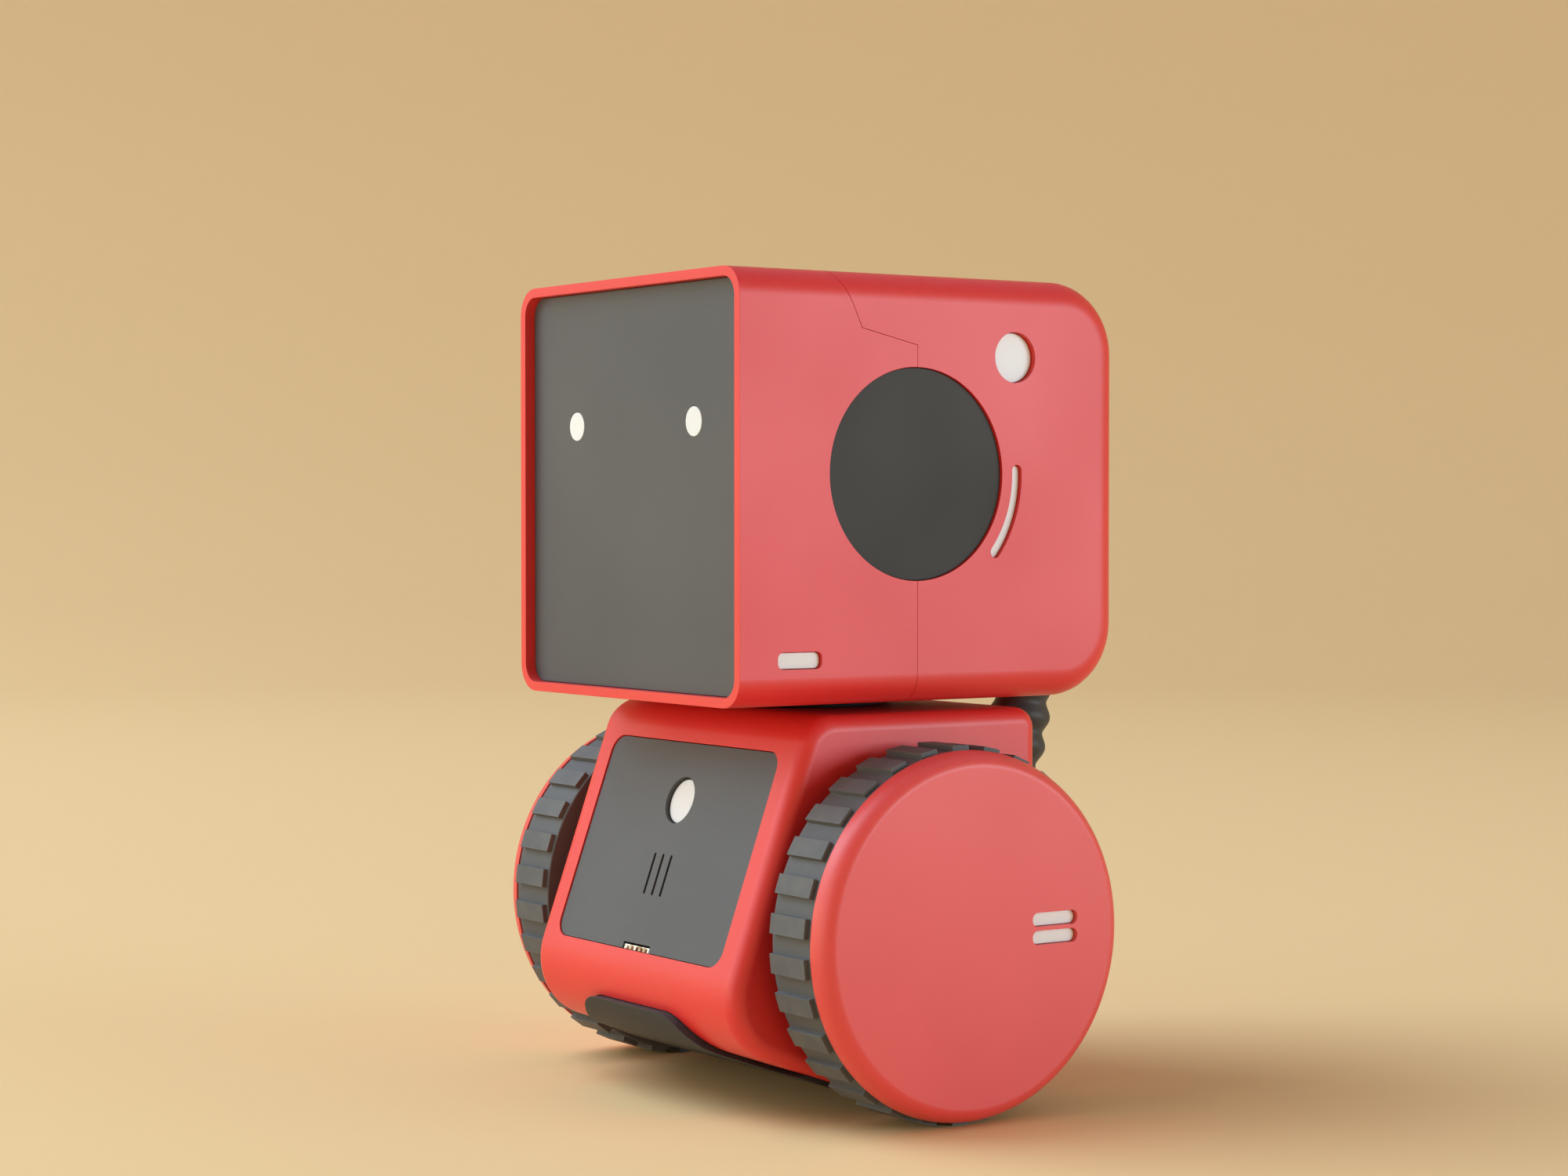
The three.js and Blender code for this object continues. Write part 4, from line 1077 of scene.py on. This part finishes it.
def smoothRoute(points, step):
    # Catmull-Rom through the points, then even steps along it
    padded = [points[0] * 2 - points[1], *points, points[-1] * 2 - points[-2]]
    dense = []
    for i in range(1, len(padded) - 2):
        a, b, c, d = padded[i - 1:i + 3]
        for j in range(40):
            t = j / 40
            dense.append(0.5 * ((2 * b) + (c - a) * t + (2 * a - 5 * b + 4 * c - d) * t ** 2
                                + (3 * b - a - 3 * c + d) * t ** 3))
    dense.append(points[-1])
    even = [(dense[0], 0.0)]
    travelled = 0.0
    last = 0.0
    for before, spot in zip(dense, dense[1:]):
        travelled += (spot - before).length
        if travelled - last >= step:
            even.append((spot, travelled))
            last = travelled
    return even


def makeConduit():
    shape = conduitShape
    route = smoothRoute([Vector((0, headMid + y, z)) for y, z in shape["route"]], shape["step"])
    clearPick()
    line = bpy.data.curves.new("neckConduit", "CURVE")
    line.dimensions = "3D"
    line.bevel_depth = 1 * mm
    line.bevel_resolution = 8
    line.use_fill_caps = True
    spline = line.splines.new("POLY")
    spline.points.add(len(route) - 1)
    for point, (spot, travelled) in zip(spline.points, route):
        wave = 0.5 + 0.5 * math.cos(2 * math.pi * travelled / shape["pitch"])
        radius = shape["valley"] + (shape["crest"] - shape["valley"]) * wave ** 0.8
        point.co = (*(spot * mm), 1)
        point.radius = radius
    hose = bpy.data.objects.new("neckConduit", line)
    bpy.context.scene.collection.objects.link(hose)
    pick(hose)
    bpy.ops.object.convert(target="MESH")
    hose = bpy.context.object
    editAll(hose)
    bpy.ops.mesh.remove_doubles(threshold=mergeGap * mm)
    bpy.ops.mesh.normals_make_consistent(inside=False)
    leaveEdit()
    pick(hose)
    bpy.ops.object.shade_smooth_by_angle(angle=math.radians(50))
    hose.data.materials.clear()
    hose.data.materials.append(finishes["conduit"])
    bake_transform(hose)
    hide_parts("neck_conduit")

    low, high = cornersOf("conduit_head_elbow")
    shellBack = headHigh.y + shape["proud"]
    bend = shape["bend"]
    bendMiddle = Vector((0, shellBack + 0.6, high.z - 5.7 - bend))
    clearPick()
    bpy.ops.mesh.primitive_circle_add(vertices=48, radius=shape["tube"] * mm, fill_type="NGON",
                                      location=(bendMiddle + Vector((0, 0, bend))) * mm,
                                      rotation=(math.pi / 2, 0, 0))
    elbow = settle(bpy.context.object)
    elbow.name = "conduitElbow"
    editAll(elbow)
    bpy.ops.mesh.spin(steps=16, angle=math.pi / 2, center=bendMiddle * mm, axis=(1, 0, 0))
    bpy.ops.mesh.select_all(action="SELECT")
    bpy.ops.mesh.normals_make_consistent(inside=False)
    leaveEdit()
    collar = addSpun("collar", "y", (0, 0, bendMiddle.z + bend), [
        (0, shellBack), (6.6, shellBack), (6.6, shellBack + 0.8), (6.2, shellBack + 1.3),
        (0, shellBack + 1.3)], 64)
    useCutter(elbow, collar, "UNION")
    hoseY = route[0][0].y
    top = bendMiddle.z + 0.4
    bottom = low.z + 0.2
    cuff = addSpun("cuff", "z", (0, hoseY, 0), [
        (0, top), (5.1, top), (5.45, top - 0.4), (5.45, bottom + 0.5), (5.2, bottom), (0, bottom)], 64)
    useCutter(elbow, cuff, "UNION")
    softenEdges(elbow, 0.15, 2, 40)
    smooth(elbow)
    handOver(elbow, "head", finishes["conduit"], "conduit_rubber", "conduit_head_elbow")

    middle = middleOf("conduit_body_gland")
    rear = cornersOf("body_shell")[1].y + shape["proud"]
    gland = addSpun("conduitGland", "y", (0, 0, middle.z), [
        (0, rear), (6.7, rear), (7, rear + 0.3), (7, rear + 1.3), (6.6, rear + 1.8), (5.9, rear + 1.8),
        (5.7, rear + 2.2), (5.7, rear + 3.0), (5.2, rear + 3.2), (5.2, rear + 3.6), (5.7, rear + 3.8),
        (5.7, rear + 4.9), (5.4, rear + 5.2), (0, rear + 5.2)], 64)
    softenEdges(gland, 0.1, 2, 40)
    smooth(gland)
    handOver(gland, "root", finishes["conduit"], "conduit_rubber", "conduit_body_gland")


makeConduit()
print("conduit made")


# small underside and rear pieces

def makeSmallPieces():
    high = cornersOf("rear_skid")[1]
    skid = addSpun("rearSkid", "z", middleOf("rear_skid"), [
        (0, 0), (1.8, 0.05), (3.2, 0.35), (4.3, 1.0), (4.85, 1.7), (5, 2.5), (5, 3.0), (4.7, 3.35), (2, 3.35),
        (2, high.z), (0, high.z)], 64)
    smooth(skid)
    handOver(skid, "root", finishes["skid"], "skid_white", "rear_skid")

    for i in range(1, 5):
        node = "pan_screw_" + str(i)
        low, high = cornersOf(node)
        middle = middleOf(node)
        screw = addSpun("panScrew" + str(i), "z", middle, [
            (0, low.z), (1.2, low.z + 0.05), (1.85, low.z + 0.25), (2, low.z + 0.55), (2, low.z + 1.5),
            (1, low.z + 1.6), (1, high.z), (0, high.z)], 40)
        for spanX, spanY in ((1.3, 0.22), (0.22, 1.3)):
            useCutter(screw, addBlock("driver", (middle.x - spanX, middle.y - spanY, low.z - 1),
                                      (middle.x + spanX, middle.y + spanY, low.z + 0.9)))
        softenEdges(screw, 0.06, 2, 40)
        smooth(screw)
        handOver(screw, "root", finishes["steel"], "steel", node)

    low, high = cornersOf("power_switch")
    middle = middleOf("power_switch")
    knob = addBlock("powerSwitch", (middle.x - 1.5, low.y + 0.5, middle.z - 1.3),
                    (middle.x + 1.5, high.y + 0.35, middle.z + 1.3))
    for i in (-1, 0, 1):
        useCutter(knob, addBlock("groove", (middle.x + i * 0.8 - 0.15, high.y + 0.05, middle.z - 2),
                                 (middle.x + i * 0.8 + 0.15, high.y + 1, middle.z + 2)))
    useCutter(knob, addBlock("slider", (low.x, low.y, low.z), (high.x, low.y + 0.9, high.z)), "UNION")
    softenEdges(knob, 0.12, 2, 40)
    smooth(knob)
    handOver(knob, "power_switch", finishes["black"], "black_plastic", "power_switch")


makeSmallPieces()

innerFinishes = {
    "black": ["neck_spigot", "neck_bearing", "neck_washer", "ear_speaker_left", "ear_speaker_right",
              "belly_speaker", "chest_switch", "chassis_frame"],
    "board": ["face_board", "side_board_left", "side_board_right", "main_board"],
    "motor": ["gearmotor_left", "gearmotor_right"],
    "battery": ["battery"],
    "steel": ["neck_retainer", "axle_left", "axle_right"],
    "brass": ["axle_bush_left", "axle_bush_right"],
}
for look, names in innerFinishes.items():
    for name in names:
        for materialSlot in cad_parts[name].material_slots:
            materialSlot.material = finishes[look]
print("inner pieces finished")


# floor, light and camera

stageShape = {"radius": 1.2, "rise": 0.6, "curve": 1.6, "steps": 8, "colour": tone(247, 209, 156)}
boxColour = (0.66, 0.84, 1)
boxAim = (0, 0, 0.06)
softboxes = {
    # place, size, power, colour and the spot it is turned to
    "sideSoftbox": ((1.3, 0.87, 0.2), (1.1, 0.6), 16, boxColour, boxAim),
    "frontSoftbox": ((-0.95, -1.15, 0.6), (1.2, 0.9), 5, boxColour, boxAim),
    "noseSoftbox": ((0.1, -1.5, 0.32), (0.5, 0.7), 3, boxColour, boxAim),
    "floorGlow": ((-0.08, -0.3, 0.004), (0.3, 0.2), 0.2, (0.8, 0.72, 0.3), (-0.02, -0.06, 0.03)),
    "topSoftbox": ((-1.0, -1.2, 1.9), (1.8, 1.8), 50, boxColour, boxAim),
}
airShape = {"colour": (0.7, 0.85, 1.0, 1), "strength": 0.35}
cameraShape = {
    "lens": 71.29, "sensor": 36, "near": 0.01, "spot": (0.416558, -0.291904, 0.092149),
    "azimuth": math.radians(56.116), "pitch": math.radians(1.336),
}


def makeStage():
    clearPick()
    bpy.ops.mesh.primitive_circle_add(vertices=96, radius=stageShape["radius"], fill_type="NGON")
    floor = bpy.context.object
    floor.name = "studioFloor"
    editEdges(floor, lambda a, b: True)
    curve = stageShape["curve"]
    steps = stageShape["steps"]
    before = (0.0, 0.0)
    for i in range(1, steps + 1):
        angle = math.pi / 2 * i / steps
        out = curve * math.sin(angle)
        up = curve * (1 - math.cos(angle))
        share = (stageShape["radius"] + out) / (stageShape["radius"] + before[0])
        bpy.ops.mesh.extrude_region_move(TRANSFORM_OT_translate={"value": (0, 0, up - before[1])})
        bpy.ops.transform.resize(value=(share, share, 1), center_override=(0, 0, 0))
        before = (out, up)
    bpy.ops.mesh.extrude_region_move(TRANSFORM_OT_translate={"value": (0, 0, stageShape["rise"])})
    leaveEdit()
    pick(floor)
    bpy.ops.object.shade_smooth_by_angle(angle=math.radians(30))
    material = bpy.data.materials.new("studioPaper")
    material.use_nodes = True
    shader = material.node_tree.nodes["Principled BSDF"]
    shader.inputs["Base Color"].default_value = stageShape["colour"]
    shader.inputs["Roughness"].default_value = 0.9
    shader.inputs["Specular IOR Level"].default_value = 0.1
    floor.data.materials.append(material)


def addSoftbox(name, spot, size, power, colour, aim):
    light = bpy.data.lights.new(name, "AREA")
    light.shape = "RECTANGLE"
    light.size, light.size_y = size
    light.energy = power
    light.color = colour
    box = bpy.data.objects.new(name, light)
    box.location = spot
    box.rotation_euler = (Vector(aim) - Vector(spot)).to_track_quat("-Z", "Y").to_euler()
    box.visible_camera = False
    bpy.context.scene.collection.objects.link(box)


def makeLights():
    for name, values in softboxes.items():
        addSoftbox(name, *values)
    world = bpy.data.worlds.new("studioAir")
    world.use_nodes = True
    back = world.node_tree.nodes["Background"]
    back.inputs["Color"].default_value = airShape["colour"]
    back.inputs["Strength"].default_value = airShape["strength"]
    bpy.context.scene.world = world
    bpy.context.scene.view_settings.view_transform = "Standard"


def makeCamera():
    shape = cameraShape
    cameraData = bpy.data.cameras.new("mainCamera")
    cameraData.lens = shape["lens"]
    cameraData.sensor_width = shape["sensor"]
    cameraData.clip_start = shape["near"]
    camera = bpy.data.objects.new("mainCamera", cameraData)
    camera.location = shape["spot"]
    azimuth = shape["azimuth"]
    level = math.cos(shape["pitch"])
    ahead = Vector((-math.sin(azimuth) * level, math.cos(azimuth) * level, -math.sin(shape["pitch"])))
    camera.rotation_euler = ahead.to_track_quat("-Z", "Y").to_euler()
    bpy.context.scene.collection.objects.link(camera)
    bpy.context.scene.camera = camera


makeStage()
makeLights()
makeCamera()
print("stage set")
